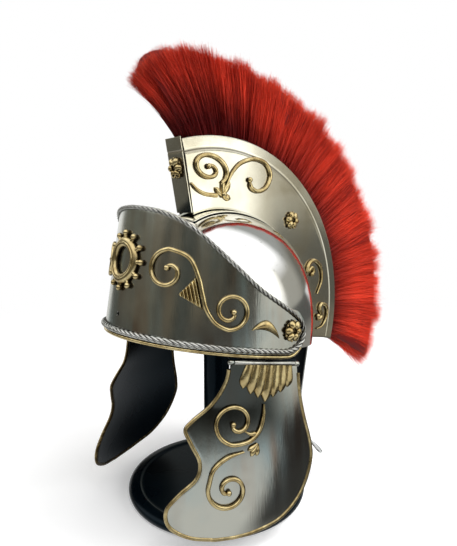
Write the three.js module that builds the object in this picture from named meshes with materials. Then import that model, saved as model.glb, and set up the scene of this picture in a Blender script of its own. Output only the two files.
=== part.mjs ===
// Roman legionary helmet on a display stand, in millimetres with +Z up.
//
// The origin is the middle of the stand's underside. The helmet faces -Y and its left side is +X.
// It leans back on the stand, so everything above the stand is modelled level in a group of its own:
// there z = 0 is the lower edge of the visor, and the group is then tipped about X.
import * as THREE from 'three';

const DEGREE = Math.PI / 180;

// Driving dimensions
const GAP = 0.3;
const lean = 10.2;
const rimHeight = 156.8;

const bowl = {
  halfWidth: 90, front: 101, rear: 109, middle: -5, height: 124.6, fullness: 2.3, wall: 1.5, rim: 7,
};
const nape = { neckAngle: 32, cornerAngle: 40, cornerRound: 9, flareFrom: 0.5, cornerFrom: 0.9, wall: 1.5 };
const visor = { halfWidth: 96, halfLength: 118.5, middle: 5, wall: 1.2, tipRadius: 21.5, tipAt: 162.5 };
const crest = { halfWidth: 11.2, wall: 1.2, outerRadius: 178, axisY: -2, axisZ: 17, rearZ: 0.6 };
const crestFoot = { halfWidth: 21, wall: 1.2, lift: 0.5 };
const cheek = {
  frontX: 81.6, frontY: -54.9, rearX: 96, rearY: 15.3, z: -4.6, hang: 6.7, wall: 1.2,
  flatTop: 40, ridgeU: 60, acrossBend: 340, chinFrom: 70, chinBend: 800,
};
const hinge = { radius: 2.2, bore: 1.35, pinRadius: 1.0, knuckle: 5 };
const stand = { radius: 90.5, height: 9, postRadius: 13, headTop: 278, headRadius: 34, crownRise: 14 };
const wire = 1.7;
const rosette = { radius: 10.3, height: 5.5 };

// Finishes
const finish = {
  polishedSteel: { color: 0xd8d9d6, roughness: 0.12, metalness: 1 },
  brushedSteel: { color: 0x9a9c98, roughness: 0.32, metalness: 1 },
  crestSteel: { color: 0xc9c4b4, roughness: 0.24, metalness: 1 },
  brass: { color: 0xc8ad6a, roughness: 0.3, metalness: 1 },
  blackPaint: { color: 0x0c1016, roughness: 0.25, metalness: 0 },
  redHair: { color: 0xb32a22, roughness: 0.75, metalness: 0 },
};

// ---------------------------------------------------------------- helpers

// Pairs of numbers as flat points.
const flat = (pairs) => pairs.map(([a, b]) => new THREE.Vector2(a, b));

// Turns a closed geometry the right way out by the sign of its volume.
function faceOutwards(geometry) {
  const solid = geometry.index ? geometry.toNonIndexed() : geometry;
  const place = solid.attributes.position;
  const a = new THREE.Vector3();
  const b = new THREE.Vector3();
  const c = new THREE.Vector3();
  let volume = 0;
  for (let i = 0; i < place.count; i += 3) {
    a.fromBufferAttribute(place, i);
    b.fromBufferAttribute(place, i + 1);
    c.fromBufferAttribute(place, i + 2);
    volume += a.dot(b.cross(c));
  }
  if (volume < 0) {
    for (let i = 0; i < place.count; i += 3) {
      b.fromBufferAttribute(place, i + 1);
      c.fromBufferAttribute(place, i + 2);
      place.setXYZ(i + 1, c.x, c.y, c.z);
      place.setXYZ(i + 2, b.x, b.y, b.z);
    }
  }
  return solid;
}

// Moves every vertex of a geometry by a function from one Vector3 to another.
function reshape(geometry, move) {
  const place = geometry.attributes.position;
  const point = new THREE.Vector3();
  for (let i = 0; i < place.count; i += 1) {
    const moved = move(point.fromBufferAttribute(place, i));
    place.setXYZ(i, moved.x, moved.y, moved.z);
  }
  return faceOutwards(geometry);
}

// A thin wall between two edge curves, laid on a surface by wrap(a, b, lift).
function wallBetween(edgeA, edgeB, columns, rows, low, high, wrap) {
  const slab = new THREE.BoxGeometry(1, 1, 1, columns, rows, 1);
  return reshape(slab, (p) => {
    const from = edgeA(p.x + 0.5);
    const to = edgeB(p.x + 0.5);
    const across = from.clone().lerp(to, p.y + 0.5);
    return wrap(across.x, across.y, low + (high - low) * (p.z + 0.5));
  });
}

// A flat outline given a thickness and laid on a surface.
function plaque(outline, low, high, wrap) {
  const depth = high - low;
  const sheet = new THREE.ExtrudeGeometry(outline, { depth, bevelEnabled: false, curveSegments: 8 });
  return reshape(sheet, (p) => wrap(p.x, p.y, low + p.z));
}

// A round wire through flat points laid on a surface.
function wireOn(points, radius, steps, sides, wrap, lift = radius + GAP) {
  const route = new THREE.SplineCurve(flat(points)).getSpacedPoints(steps).map((p) => wrap(p.x, p.y, lift));
  const section = new THREE.Shape(
    Array.from({ length: sides }, (_, i) => {
      const turn = (2 * Math.PI * i) / sides;
      return new THREE.Vector2(radius * Math.cos(turn), radius * Math.sin(turn));
    }),
  );
  const extrudePath = new THREE.CatmullRomCurve3(route);
  return faceOutwards(new THREE.ExtrudeGeometry(section, { steps, extrudePath, bevelEnabled: false }));
}

// Points of a volute from its outer end to its eye; angles in degrees, stretch widens it.
function volute(centreA, centreB, outer, eye, from, to, power = 1.4, stretch = 1) {
  const count = Math.round(Math.abs(to - from) / 40);
  return Array.from({ length: count + 1 }, (_, i) => {
    const part = i / count;
    const radius = outer + (eye - outer) * part ** power;
    const turn = (from + (to - from) * part) * DEGREE;
    return [centreA + stretch * radius * Math.cos(turn), centreB + radius * Math.sin(turn)];
  });
}

// Turns a profile of [radius, height] pairs about the upright axis.
function turned(profile, segments) {
  return faceOutwards(new THREE.LatheGeometry(flat(profile), segments).rotateX(Math.PI / 2));
}

const mirrored = (geometry) => reshape(geometry.clone(), (p) => p.setX(-p.x));

function piece(name, geometry, look) {
  const mesh = new THREE.Mesh(geometry, new THREE.MeshStandardMaterial(look));
  mesh.name = name;
  return mesh;
}

// Adds a piece to the left side of a group and its mirror image to the right.
function pair(name, geometry, look, parent) {
  parent.add(piece(`${name}_left`, geometry, look));
  parent.add(piece(`${name}_right`, mirrored(geometry), look));
}

// ---------------------------------------------------------------- surfaces

// How far out a point is, as a share of the bowl's outer surface.
function bowlLevel(x, y, z) {
  const half = y < bowl.middle ? bowl.front : bowl.rear;
  const across = Math.hypot(x / bowl.halfWidth, (y - bowl.middle) / half);
  const rise = Math.max(z, 0) / bowl.height;
  return (across ** bowl.fullness + rise ** bowl.fullness) ** (1 / bowl.fullness);
}

// A point above the bowl: angle from the rear rim over the crown, x to the side.
function onBowl(angle, x, lift) {
  const away = Math.cos(angle * DEGREE);
  const up = Math.sin(angle * DEGREE);
  let near = 40;
  let far = 160;
  for (let i = 0; i < 40; i += 1) {
    const middle = (near + far) / 2;
    const inside = bowlLevel(x, bowl.middle + middle * away, middle * up) < 1;
    near = inside ? middle : near;
    far = inside ? far : middle;
  }
  return new THREE.Vector3(x, bowl.middle + (near + lift) * away, (near + lift) * up);
}

// The visor is an upright elliptic wall: s runs along it from the front, to the left.
const visorPlan = new THREE.EllipseCurve(
  0, visor.middle, visor.halfWidth, visor.halfLength, -Math.PI / 2, Math.PI / 4,
);
const visorPlanLength = visorPlan.getLength();

function onVisor(s, z, lift) {
  const share = Math.abs(s) / visorPlanLength;
  const side = s < 0 ? -1 : 1;
  const point = visorPlan.getPointAt(share);
  const along = visorPlan.getTangentAt(share);
  return new THREE.Vector3(side * (point.x + lift * along.y), point.y - lift * along.x, z);
}

// The cheek plate in its hinge's own frame: u runs back along the hinge, v down, lift outwards.
// It is flat at the hinge, then bends round the face and in under the chin.
function onCheek(u, v, lift) {
  const settle = THREE.MathUtils.smoothstep(v, 0, cheek.flatTop);
  const acrossBend = (settle * (u - cheek.ridgeU) ** 2) / cheek.acrossBend;
  const lowerBend = Math.max(v - cheek.chinFrom, 0) ** 2 / cheek.chinBend;
  return new THREE.Vector3(lift - acrossBend - lowerBend, u, -v);
}

const onCrestSide = (y, z, lift) => new THREE.Vector3(crest.halfWidth + lift, y, z);

// ---------------------------------------------------------------- helmet shell

function bowlShell() {
  const wallPoint = (angle, thickness) => {
    const share = 2 / bowl.fullness;
    const radius = (bowl.halfWidth - thickness) * Math.cos(angle) ** share;
    const height = (bowl.height - thickness) * Math.sin(angle) ** share;
    return [radius, height];
  };
  const rimAngle = Math.asin((bowl.rim / bowl.height) ** (bowl.fullness / 2)) / DEGREE;
  const angles = [90, 80, 68, 56, 44, 31, 17, rimAngle].map((degrees) => degrees * DEGREE);
  const outside = angles.map((angle) => wallPoint(angle, 0));
  const inside = angles.map((angle) => wallPoint(angle, bowl.wall)).reverse();
  outside[0][0] = 0;
  inside[inside.length - 1][0] = 0;
  return reshape(turned([...outside, ...inside], 40), (p) => {
    const half = p.y < 0 ? bowl.front : bowl.rear;
    return new THREE.Vector3(p.x, bowl.middle + (p.y * half) / bowl.halfWidth, p.z);
  });
}

// Behind the neck: straight down from the rim, then flaring out into the neck flange.
const napeProfile = new THREE.SplineCurve(
  flat([[0, bowl.rim - GAP], [0, -30], [1, -63], [7, -84], [17, -98], [31, -110]]),
);

function napeShell() {
  const wrap = (angle, down, lift) => {
    const out = napeProfile.getPoint(down);
    const fall = napeProfile.getTangent(down);
    const turn = angle * DEGREE;
    const normal = new THREE.Vector2(Math.sin(turn) / bowl.halfWidth, Math.cos(turn) / bowl.rear).normalize();
    const reach = out.x - lift * fall.y;
    return new THREE.Vector3(
      bowl.halfWidth * Math.sin(turn) + reach * normal.x,
      bowl.middle + bowl.rear * Math.cos(turn) + reach * normal.y,
      out.y + lift * fall.x,
    );
  };
  const half = (down) => {
    const flare = THREE.MathUtils.smoothstep(down, nape.flareFrom, nape.cornerFrom);
    const corner = Math.max(0, (down - nape.cornerFrom) / (1 - nape.cornerFrom)) ** 2;
    return nape.neckAngle + (nape.cornerAngle - nape.neckAngle) * flare - nape.cornerRound * corner;
  };
  const left = (t) => new THREE.Vector2(half(t), t);
  const right = (t) => new THREE.Vector2(-half(t), t);
  return wallBetween(left, right, 10, 12, -nape.wall, 0, wrap);
}

// The visor's outline in (s, z), mirrored about the front; inset moves it inwards.
const visorTop = new THREE.SplineCurve(
  flat([[0, 113], [34, 110.7], [52, 106], [70, 97], [105, 73], [125, 59.5], [146, 49.5], [162.5, 43]]),
);
const TIP_ANGLE = 84;

function visorEdge(upper, inset) {
  const radius = visor.tipRadius - inset;
  const reach = visor.tipAt + radius * TIP_ANGLE * DEGREE;
  return (t) => {
    const travel = (2 * t - 1) * reach;
    const side = Math.sign(travel) || 1;
    const far = Math.abs(travel);
    const turn = Math.max(far - visor.tipAt, 0) / radius;
    const s = Math.min(far, visor.tipAt) + radius * Math.sin(turn);
    const onTip = radius * Math.cos(turn);
    if (!upper) {
      return new THREE.Vector2(side * s, visor.tipRadius - onTip);
    }
    if (turn > 0) {
      return new THREE.Vector2(side * s, visor.tipRadius + onTip);
    }
    const height = visorTop.getPoint(shareAt(visorTop, s)).y;
    return new THREE.Vector2(side * s, height - inset);
  };
}

// The share along a curve at which its x reaches a value; x grows along the curve.
function shareAt(curve, x) {
  let low = 0;
  let high = 1;
  for (let i = 0; i < 30; i += 1) {
    const middle = (low + high) / 2;
    low = curve.getPoint(middle).x < x ? middle : low;
    high = curve.getPoint(middle).x < x ? high : middle;
  }
  return (low + high) / 2;
}

const TRIM_RADIUS = 1.5;
const ROPE_RADIUS = 2;

function visorPlate() {
  const lower = visorEdge(false, 2 * TRIM_RADIUS + 2 * GAP);
  const upper = visorEdge(true, 0.5);
  return wallBetween(lower, upper, 44, 3, -visor.wall, 0, onVisor);
}

function visorTrim() {
  const ring = visorEdge(false, TRIM_RADIUS);
  const points = Array.from({ length: 61 }, (_, i) => ring(i / 60)).map((p) => [p.x, p.y]);
  return wireOn(points, TRIM_RADIUS, 52, 5, onVisor, -visor.wall / 2);
}

function visorRope() {
  const leftHalf = [
    [0.5, 6.2], [80, 6.2], [140, 6.2], [162.5, 6.6], [175, 12], [179.5, 22], [175, 32], [162, 39.6],
    [146, 46.8], [125, 56.9], [105, 70.4], [70, 94.4], [52, 103.2], [34, 107.9], [12, 110.1],
  ];
  const rightHalf = leftHalf.map(([s, z]) => [-s, z]).reverse();
  return wireOn([...leftHalf, ...rightHalf], ROPE_RADIUS, 92, 4, onVisor);
}

// The spacer behind each visor rosette, from the bowl's wall to the visor's.
const RIVET = { s: 164, z: 24.5 };

function visorStud() {
  const outer = onVisor(RIVET.s, RIVET.z, -visor.wall - GAP);
  const inward = onVisor(RIVET.s, RIVET.z, -1).sub(onVisor(RIVET.s, RIVET.z, 0));
  let length = 0;
  const tip = outer.clone();
  while (bowlLevel(tip.x, tip.y, tip.z) > 1.004 && length < 30) {
    tip.addScaledVector(inward, 0.1);
    length += 0.1;
  }
  const stud = new THREE.CylinderGeometry(4, 4, length, 16);
  stud.applyQuaternion(new THREE.Quaternion().setFromUnitVectors(new THREE.Vector3(0, 1, 0), inward));
  const middle = outer.clone().lerp(tip, 0.5);
  return faceOutwards(stud.translate(middle.x, middle.y, middle.z));
}

// ---------------------------------------------------------------- ornaments

// A domed flower head whose flat back lies in the plane z = 0.
function rosetteDome() {
  const { radius, height } = rosette;
  return turned([
    [0, 0], [radius * 0.86, 0], [radius, 1.2], [radius * 0.86, height * 0.6],
    [radius * 0.45, height * 0.95], [0, height],
  ], 12);
}

function placedRosette(at, outward) {
  const dome = rosetteDome();
  dome.applyQuaternion(new THREE.Quaternion().setFromUnitVectors(new THREE.Vector3(0, 0, 1), outward));
  return dome.translate(at.x, at.y, at.z);
}

// Flat cut sheet stands a little off the curved visor.
const LEAF_LIFT = 0.9;

// A flat ring with knobbed rays all round.
const sun = {
  z: 66.8, ringOuter: 16.6, ringInner: 11.6, height: 4.2, rays: 12, knobAt: 20.4, knobRadius: 2.3, neck: 1.2,
};

function sunRing() {
  const outline = new THREE.Shape();
  for (let ray = 0; ray < sun.rays; ray += 1) {
    const middle = (ray / sun.rays) * 2 * Math.PI;
    const put = (along, aside) => {
      const s = along * Math.cos(middle) - aside * Math.sin(middle);
      const z = sun.z + along * Math.sin(middle) + aside * Math.cos(middle);
      return outline.currentPoint.length() === 0 ? outline.moveTo(s, z) : outline.lineTo(s, z);
    };
    put(sun.ringOuter, -sun.neck);
    for (let corner = -2; corner <= 2; corner += 1) {
      const turn = corner * 60 * DEGREE;
      put(sun.knobAt + sun.knobRadius * Math.cos(turn), sun.knobRadius * Math.sin(turn));
    }
    put(sun.ringOuter, sun.neck);
  }
  const hole = new THREE.Path().absarc(0, sun.z, sun.ringInner, 0, 2 * Math.PI, true);
  outline.holes.push(hole);
  return plaque(outline, LEAF_LIFT, sun.height, onVisor);
}

function visorScroll() {
  const upper = volute(48.5, 62, 16.8, 2.2, 85, 480).reverse();
  const sway = [[64.7, 74], [73.5, 60], [78.5, 46.5], [83, 35.5], [91, 26]];
  const lower = volute(102.5, 36, 14.3, 2.4, 262, 720, 2);
  return wireOn([...upper, ...sway, ...lower], wire, 48, 4, onVisor);
}

function fanLeaf() {
  const outline = new THREE.Shape(flat([[70.2, 58.5], [59.5, 43.9], [68, 39.2], [77.2, 36.6], [73.6, 47]]));
  return plaque(outline, LEAF_LIFT, 3, onVisor);
}

function crescentLeaf() {
  const outline = new THREE.Shape();
  outline.moveTo(122.5, 23.2);
  outline.quadraticCurveTo(135, 38, 150.5, 17.8);
  outline.quadraticCurveTo(136.5, 28, 122.5, 23.2);
  return plaque(outline, LEAF_LIFT, 3, onVisor);
}

// ---------------------------------------------------------------- crest

const crestFront = {
  foot: new THREE.Vector2(-58.6, 114.6),
  top: new THREE.Vector2(-82.4, 178.4),
};
const FRONT_PLATE = 1.2;

function onCrestArc(angle, radius) {
  const turn = angle * DEGREE;
  return new THREE.Vector2(crest.axisY + radius * Math.cos(turn), crest.axisZ + radius * Math.sin(turn));
}

const REAR_ANGLE = Math.asin((crest.rearZ - crest.axisZ) / crest.outerRadius) / DEGREE;
const FRONT_ANGLE = 116.2;

function crestSide() {
  const clearance = crestFoot.lift + crestFoot.wall + 2 * GAP;
  const arc = Array.from({ length: 27 }, (_, i) => {
    const angle = REAR_ANGLE + ((FRONT_ANGLE - REAR_ANGLE) * i) / 26;
    return onCrestArc(angle, crest.outerRadius);
  });
  const foot = Array.from({ length: 19 }, (_, i) => {
    const angle = 114.4 + ((1.4 - 114.4) * i) / 18;
    const point = onBowl(angle, crest.halfWidth, clearance);
    return new THREE.Vector2(point.y, point.z);
  });
  const outline = new THREE.Shape([...arc, ...foot]);
  return plaque(outline, -crest.wall, 0, onCrestSide);
}

// The narrow plate that closes the front of the box.
function crestFrontPlate() {
  const rise = crestFront.top.clone().sub(crestFront.foot);
  const length = rise.length() - 1;
  const plate = new THREE.BoxGeometry(2 * crest.halfWidth, FRONT_PLATE, length);
  plate.rotateX(Math.atan2(-rise.x, rise.y));
  const middle = crestFront.foot.clone().lerp(crestFront.top, 0.5);
  const out = new THREE.Vector2(-rise.y, rise.x).normalize();
  middle.addScaledVector(out, -FRONT_PLATE / 2 + 0.6);
  return faceOutwards(plate.translate(0, middle.x, middle.y + 0.5));
}

// The flange under the box, laid along the bowl from front to rear.
function crestFootFlange() {
  const edge = (side) => (t) => new THREE.Vector2(118 - 116 * t, side * crestFoot.halfWidth);
  const { lift, wall } = crestFoot;
  return wallBetween(edge(-1), edge(1), 22, 4, lift, lift + wall, onBowl);
}

function crestSpiral() {
  return wireOn(volute(-46.5, 158.5, 14.8, 2, -42, 480, 1.2, 1.5), wire, 30, 4, onCrestSide);
}

function crestTendril() {
  const hook = [
    [-17, 163], [-7.5, 174], [7.7, 181], [23.5, 180.5], [32.5, 171], [29.5, 158], [19, 151],
    [8.5, 152.5], [5, 159.5],
  ];
  return wireOn(hook, wire, 16, 4, onCrestSide);
}

function crestStem() {
  return wireOn([[-65, 138.5], [-53, 135.4], [-41, 135.8]], 0.8 * wire, 4, 4, onCrestSide);
}

function crestCalyx() {
  const outline = flat([
    [-38, 138], [-27, 133.5], [-16, 138.5], [-20, 146], [-17.5, 158], [-24, 151.5], [-31.5, 143.5],
  ]);
  return plaque(new THREE.Shape(outline), GAP, 3, onCrestSide);
}

function rearScrollUpper() {
  const hook = [
    [121, 76], [124, 79.5], [119.5, 83.5], [112.8, 78], [113.5, 86.5], [122, 92], [135, 86.5],
    [141, 71], [136, 54],
  ];
  return wireOn(hook, wire, 20, 4, onCrestSide);
}

function rearScrollLower() {
  const hook = [
    [143, 28], [145.5, 24], [149.5, 29], [144.5, 36.5], [147, 42.5], [157, 40], [160, 28.5],
    [154, 16.5], [144, 12.5],
  ];
  return wireOn(hook, wire, 20, 4, onCrestSide);
}

// ---------------------------------------------------------------- plume

// The hair stands in the top of the box and fans out above it, forwards at the front.
const plumeRows = [
  { along: 0, half: 9.4 }, { along: 0, half: 9.4 }, { along: 0.16, half: 14 },
  { along: 0.5, half: 18 }, { along: 0.86, half: 18.5 }, { along: 1, half: 9 },
];
const plume = { rootDepth: 12, frontAngle: 114.6, rearAngle: -4.6 };

// The way a lock points at an angle round the crest: it leans on at both ends, most in front.
function hairLean(angle) {
  const forward = 27 * THREE.MathUtils.smoothstep(angle, 66, 116);
  const down = 16 * (1 - THREE.MathUtils.smoothstep(angle, -6, 16));
  return angle + forward - down;
}

// How far it stands out of the box: shortest over the crown, longest behind.
function hairLength(angle) {
  const fromFront = plume.frontAngle + 1.4 - angle;
  const corner = 20 * THREE.MathUtils.smoothstep(fromFront, 0, 6);
  const crown = 14 * THREE.MathUtils.smoothstep(fromFront, 5, 24);
  const rear = 32 * (1 - THREE.MathUtils.smoothstep(angle, -10, 72));
  const back = THREE.MathUtils.smoothstep(angle, -2, 24) * (1 - THREE.MathUtils.smoothstep(angle, 62, 96));
  return 66 + corner - crown + rear + 5 * back;
}

function plumeBody() {
  const slab = new THREE.BoxGeometry(1, 1, 1, 26, plumeRows.length - 1, 2);
  return reshape(slab, (p) => {
    const angle = plume.rearAngle + (plume.frontAngle - plume.rearAngle) * (p.x + 0.5);
    const row = Math.round((p.y + 0.5) * (plumeRows.length - 1));
    const bottom = row === 0 ? crest.outerRadius - plume.rootDepth : crest.outerRadius + 0.6;
    const root = onCrestArc(angle, bottom);
    const way = hairLean(angle) * DEGREE;
    const reach = plumeRows[row].along * hairLength(angle);
    const x = 2 * plumeRows[row].half * p.z;
    return new THREE.Vector3(x, root.x + reach * Math.cos(way), root.y + reach * Math.sin(way));
  });
}

// ---------------------------------------------------------------- cheek guards

const cheekYaw = Math.atan2(cheek.rearX - cheek.frontX, cheek.rearY - cheek.frontY);
const hingeLength = Math.hypot(cheek.rearX - cheek.frontX, cheek.rearY - cheek.frontY);

const cheekFrontEdge = new THREE.SplineCurve(flat([
  [0, 0], [0, 17], [-6, 34], [-19, 48], [-24.5, 57], [-19, 69], [-12, 82], [-13, 94],
  [-24, 107], [-32, 121], [-28, 135], [-12, 143.5], [9, 145.6],
]));
const cheekRearEdge = new THREE.SplineCurve(flat([
  [72, 0], [76, 22], [83, 43], [94, 68], [97, 86], [88, 112], [68, 131.5], [42, 141], [24, 144.4],
]));

// A point on an edge curve, moved inwards across the plate.
function insetPoint(curve, share, inset, inwards) {
  const point = curve.getPointAt(share);
  const along = curve.getTangentAt(share);
  return point.add(new THREE.Vector2(-along.y, along.x).multiplyScalar(inset * inwards));
}

const CHEEK_TRIM = 1.6;

function cheekPlate() {
  const inset = 2 * CHEEK_TRIM + 4 * GAP;
  const start = 0.022;
  const front = (t) => insetPoint(cheekFrontEdge, start + (1 - start) * t, inset, -1);
  const rear = (t) => insetPoint(cheekRearEdge, start + (1 - start) * t, inset, 1);
  return wallBetween(front, rear, 20, 6, -cheek.wall, 0, onCheek);
}

function cheekTrim() {
  const along = (curve, count, from, inwards) => Array.from({ length: count + 1 }, (_, i) => {
    const point = insetPoint(curve, from + ((1 - from) * i) / count, CHEEK_TRIM, inwards);
    return [point.x, point.y];
  });
  const front = along(cheekFrontEdge, 24, 0.03, -1);
  const rear = along(cheekRearEdge, 20, 0.04, 1);
  const round = [...front, ...rear.reverse()];
  return wireOn(round, CHEEK_TRIM, 48, 4, onCheek, -cheek.wall / 2);
}

// The sleeve rolled along the plate's top, on the hinge's axis.
function hingeSleeve() {
  const { radius, bore, knuckle } = hinge;
  const from = knuckle + GAP;
  const to = hingeLength - knuckle - GAP;
  const profile = [[bore, from], [radius, from], [radius, to], [bore, to], [bore, from]];
  return turned(profile, 12).rotateX(-Math.PI / 2);
}

// The pin and the two end knuckles that the bowl carries.
function hingePin() {
  const { radius, pinRadius, knuckle } = hinge;
  const far = hingeLength;
  const profile = [
    [0, 0], [radius, 0], [radius, knuckle], [pinRadius, knuckle],
    [pinRadius, far - knuckle], [radius, far - knuckle], [radius, far], [0, far],
  ];
  return turned(profile, 12).rotateX(-Math.PI / 2);
}

// A fan of petals under the hinge; each petal ends in a shoulder, a tip and a shoulder.
const petals = [[17, 19.5], [24.5, 24], [31.5, 27], [38.5, 30.5], [46, 26.5], [53.5, 22.5], [60.5, 18]];
const PALMETTE = { topFrom: 18, topTo: 63, topV: 4, from: 12.5, to: 65, notch: 4.5, height: 3.6 };

function palmette() {
  const { topFrom, topTo, topV, from, to, notch, height } = PALMETTE;
  const ends = [[from, petals[0][1] - notch]];
  petals.forEach(([tipU, tipV], i) => {
    const [nextU, nextV] = petals[i + 1] ?? [2 * to - tipU, tipV];
    const [lastU] = ends[ends.length - 1];
    const notchU = (tipU + nextU) / 2;
    ends.push([(lastU + tipU) / 2, tipV - notch / 4]);
    ends.push([tipU, tipV]);
    ends.push([(tipU + notchU) / 2, tipV - notch / 4]);
    ends.push([notchU, (tipV + nextV) / 2 - notch]);
  });
  const rim = flat(ends);
  const top = (t) => new THREE.Vector2(topFrom + (topTo - topFrom) * t, topV);
  const tips = (t) => rim[Math.round(t * (rim.length - 1))];
  return wallBetween(top, tips, rim.length - 1, 4, GAP, height, onCheek);
}

function cheekScrollUpper() {
  const spiral = volute(14.5, 50, 17, 2.4, 88, 520, 1.5);
  return wireOn([[37.8, 34], [38, 45], [35, 56], [27, 64], ...spiral], wire, 36, 4, onCheek);
}

function cheekScrollLower() {
  const lead = [[23, 72.5], [10, 77], [0, 86.5]];
  const spiral = volute(13.5, 103, 16.6, 2.2, 195, -270, 1.25);
  return wireOn([...lead, ...spiral], wire, 36, 4, onCheek);
}

function cheekLeaf() {
  const outline = flat([[28.5, 68], [35, 65], [36.5, 70], [33.5, 76.5], [28.5, 78], [26, 74]]);
  return plaque(new THREE.Shape(outline), GAP, 2.8, onCheek);
}

// The strap that joins the hinge's knuckles to the bowl's rim, in the helmet's frame.
function hingeLeaf() {
  const setBack = hinge.knuckle + 3;
  const edge = (z) => (t) => new THREE.Vector2(setBack + (hingeLength - 2 * setBack) * t, z);
  const wrap = (u, z, lift) => {
    const y = cheek.frontY + u * Math.cos(cheekYaw);
    const x = cheek.frontX + u * Math.sin(cheekYaw);
    const rimHalf = y < bowl.middle ? bowl.front : bowl.rear;
    const rimX = bowl.halfWidth * Math.sqrt(1 - ((y - bowl.middle) / rimHalf) ** 2);
    const share = THREE.MathUtils.smoothstep(z, -2.2, 1);
    return new THREE.Vector3(x * (1 - share) + (rimX - bowl.wall - 2.1) * share + lift, y, z);
  };
  return wallBetween(edge(-2), edge(16), 6, 4, -0.6, 0.3, wrap);
}

// ---------------------------------------------------------------- stand

const RECESS = 1.6;

function standBase() {
  const { radius, height } = stand;
  return turned([
    [0, 0], [radius - 2, 0], [radius, 2], [radius, 4.5], [radius - 2, 7], [radius - 5.5, height - 0.6],
    [radius - 10.5, height], [radius - 12.5, height - 0.4], [radius - 13.5, height - RECESS],
    [0, height - RECESS],
  ], 40);
}

const HEAD_DEPTH = 26;

function standPost() {
  const foot = stand.height - RECESS + GAP;
  const top = stand.headTop - HEAD_DEPTH - GAP;
  return turned([[0, foot], [stand.postRadius, foot], [stand.postRadius, top], [0, top]], 24);
}

function standHead() {
  const { headTop, headRadius, crownRise } = stand;
  const crown = Array.from({ length: 6 }, (_, i) => {
    const turn = (90 - 15 * i) * DEGREE;
    return [headRadius * Math.cos(turn), headTop - crownRise + crownRise * Math.sin(turn)];
  });
  crown[0][0] = 0;
  const base = headTop - HEAD_DEPTH;
  return turned([...crown, [headRadius, headTop - crownRise], [stand.postRadius + 3, base], [0, base]], 20);
}

// ---------------------------------------------------------------- assembly

const helmet = new THREE.Group();
helmet.position.z = rimHeight;
helmet.rotation.x = -lean * DEGREE;

helmet.add(piece('bowl', bowlShell(), finish.polishedSteel));
helmet.add(piece('nape_guard', napeShell(), finish.polishedSteel));
helmet.add(piece('visor', visorPlate(), finish.brushedSteel));
helmet.add(piece('visor_trim', visorTrim(), finish.brass));
helmet.add(piece('visor_rope', visorRope(), finish.polishedSteel));
pair('visor_stud', visorStud(), finish.brushedSteel, helmet);

helmet.add(piece('sun_ring', sunRing(), finish.brass));
pair('visor_scroll', visorScroll(), finish.brass, helmet);
pair('fan_leaf', fanLeaf(), finish.brass, helmet);
pair('crescent', crescentLeaf(), finish.brass, helmet);
const rivetOutward = onVisor(RIVET.s, RIVET.z, 1).sub(onVisor(RIVET.s, RIVET.z, 0));
pair('visor_rosette', placedRosette(onVisor(RIVET.s, RIVET.z, GAP), rivetOutward), finish.brass, helmet);

pair('crest_side', crestSide(), finish.crestSteel, helmet);
helmet.add(piece('crest_front', crestFrontPlate(), finish.crestSteel));
helmet.add(piece('crest_foot', crestFootFlange(), finish.crestSteel));
helmet.add(piece('plume', plumeBody(), finish.redHair));
pair('crest_spiral', crestSpiral(), finish.brass, helmet);
pair('crest_tendril', crestTendril(), finish.brass, helmet);
pair('crest_stem', crestStem(), finish.brass, helmet);
pair('crest_calyx', crestCalyx(), finish.brass, helmet);
pair('rear_scroll_upper', rearScrollUpper(), finish.brass, helmet);
pair('rear_scroll_lower', rearScrollLower(), finish.brass, helmet);
const sideOutward = new THREE.Vector3(1, 0, 0);
pair('side_rosette', placedRosette(onCrestSide(74.5, 131, GAP), sideOutward), finish.brass, helmet);
const frontSlope = crestFront.top.clone().sub(crestFront.foot).normalize();
const frontOutward = new THREE.Vector3(0, -frontSlope.y, frontSlope.x);
const frontMiddle = crestFront.foot.clone().lerp(crestFront.top, 0.61);
const frontFace = new THREE.Vector3(0, frontMiddle.x, frontMiddle.y).addScaledVector(frontOutward, 0.6 + GAP);
helmet.add(piece('front_rosette', placedRosette(frontFace, frontOutward), finish.brass));

// Each cheek guard hangs in a group on its hinge's axis, and the right one mirrors the left.
for (const side of [1, -1]) {
  const name = side > 0 ? 'left' : 'right';
  const handed = side > 0 ? (geometry) => geometry : mirrored;
  const axis = new THREE.Group();
  axis.position.set(side * cheek.frontX, cheek.frontY, cheek.z);
  axis.rotation.z = -side * cheekYaw;
  const hanging = new THREE.Group();
  hanging.rotation.y = -side * cheek.hang * DEGREE;
  axis.add(hanging);
  helmet.add(axis);
  axis.add(piece(`hinge_pin_${name}`, handed(hingePin()), finish.polishedSteel));
  helmet.add(piece(`hinge_leaf_${name}`, handed(hingeLeaf()), finish.polishedSteel));
  hanging.add(piece(`cheek_plate_${name}`, handed(cheekPlate()), finish.brushedSteel));
  hanging.add(piece(`cheek_hinge_${name}`, handed(hingeSleeve()), finish.polishedSteel));
  hanging.add(piece(`cheek_trim_${name}`, handed(cheekTrim()), finish.brass));
  hanging.add(piece(`palmette_${name}`, handed(palmette()), finish.brass));
  hanging.add(piece(`cheek_scroll_upper_${name}`, handed(cheekScrollUpper()), finish.brass));
  hanging.add(piece(`cheek_scroll_lower_${name}`, handed(cheekScrollLower()), finish.brass));
  hanging.add(piece(`cheek_leaf_${name}`, handed(cheekLeaf()), finish.brass));
}

const group = new THREE.Group();
group.add(helmet);
group.add(piece('stand_base', standBase(), finish.blackPaint));
group.add(piece('stand_post', standPost(), finish.blackPaint));
group.add(piece('stand_head', standHead(), finish.blackPaint));

export default group;
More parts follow.
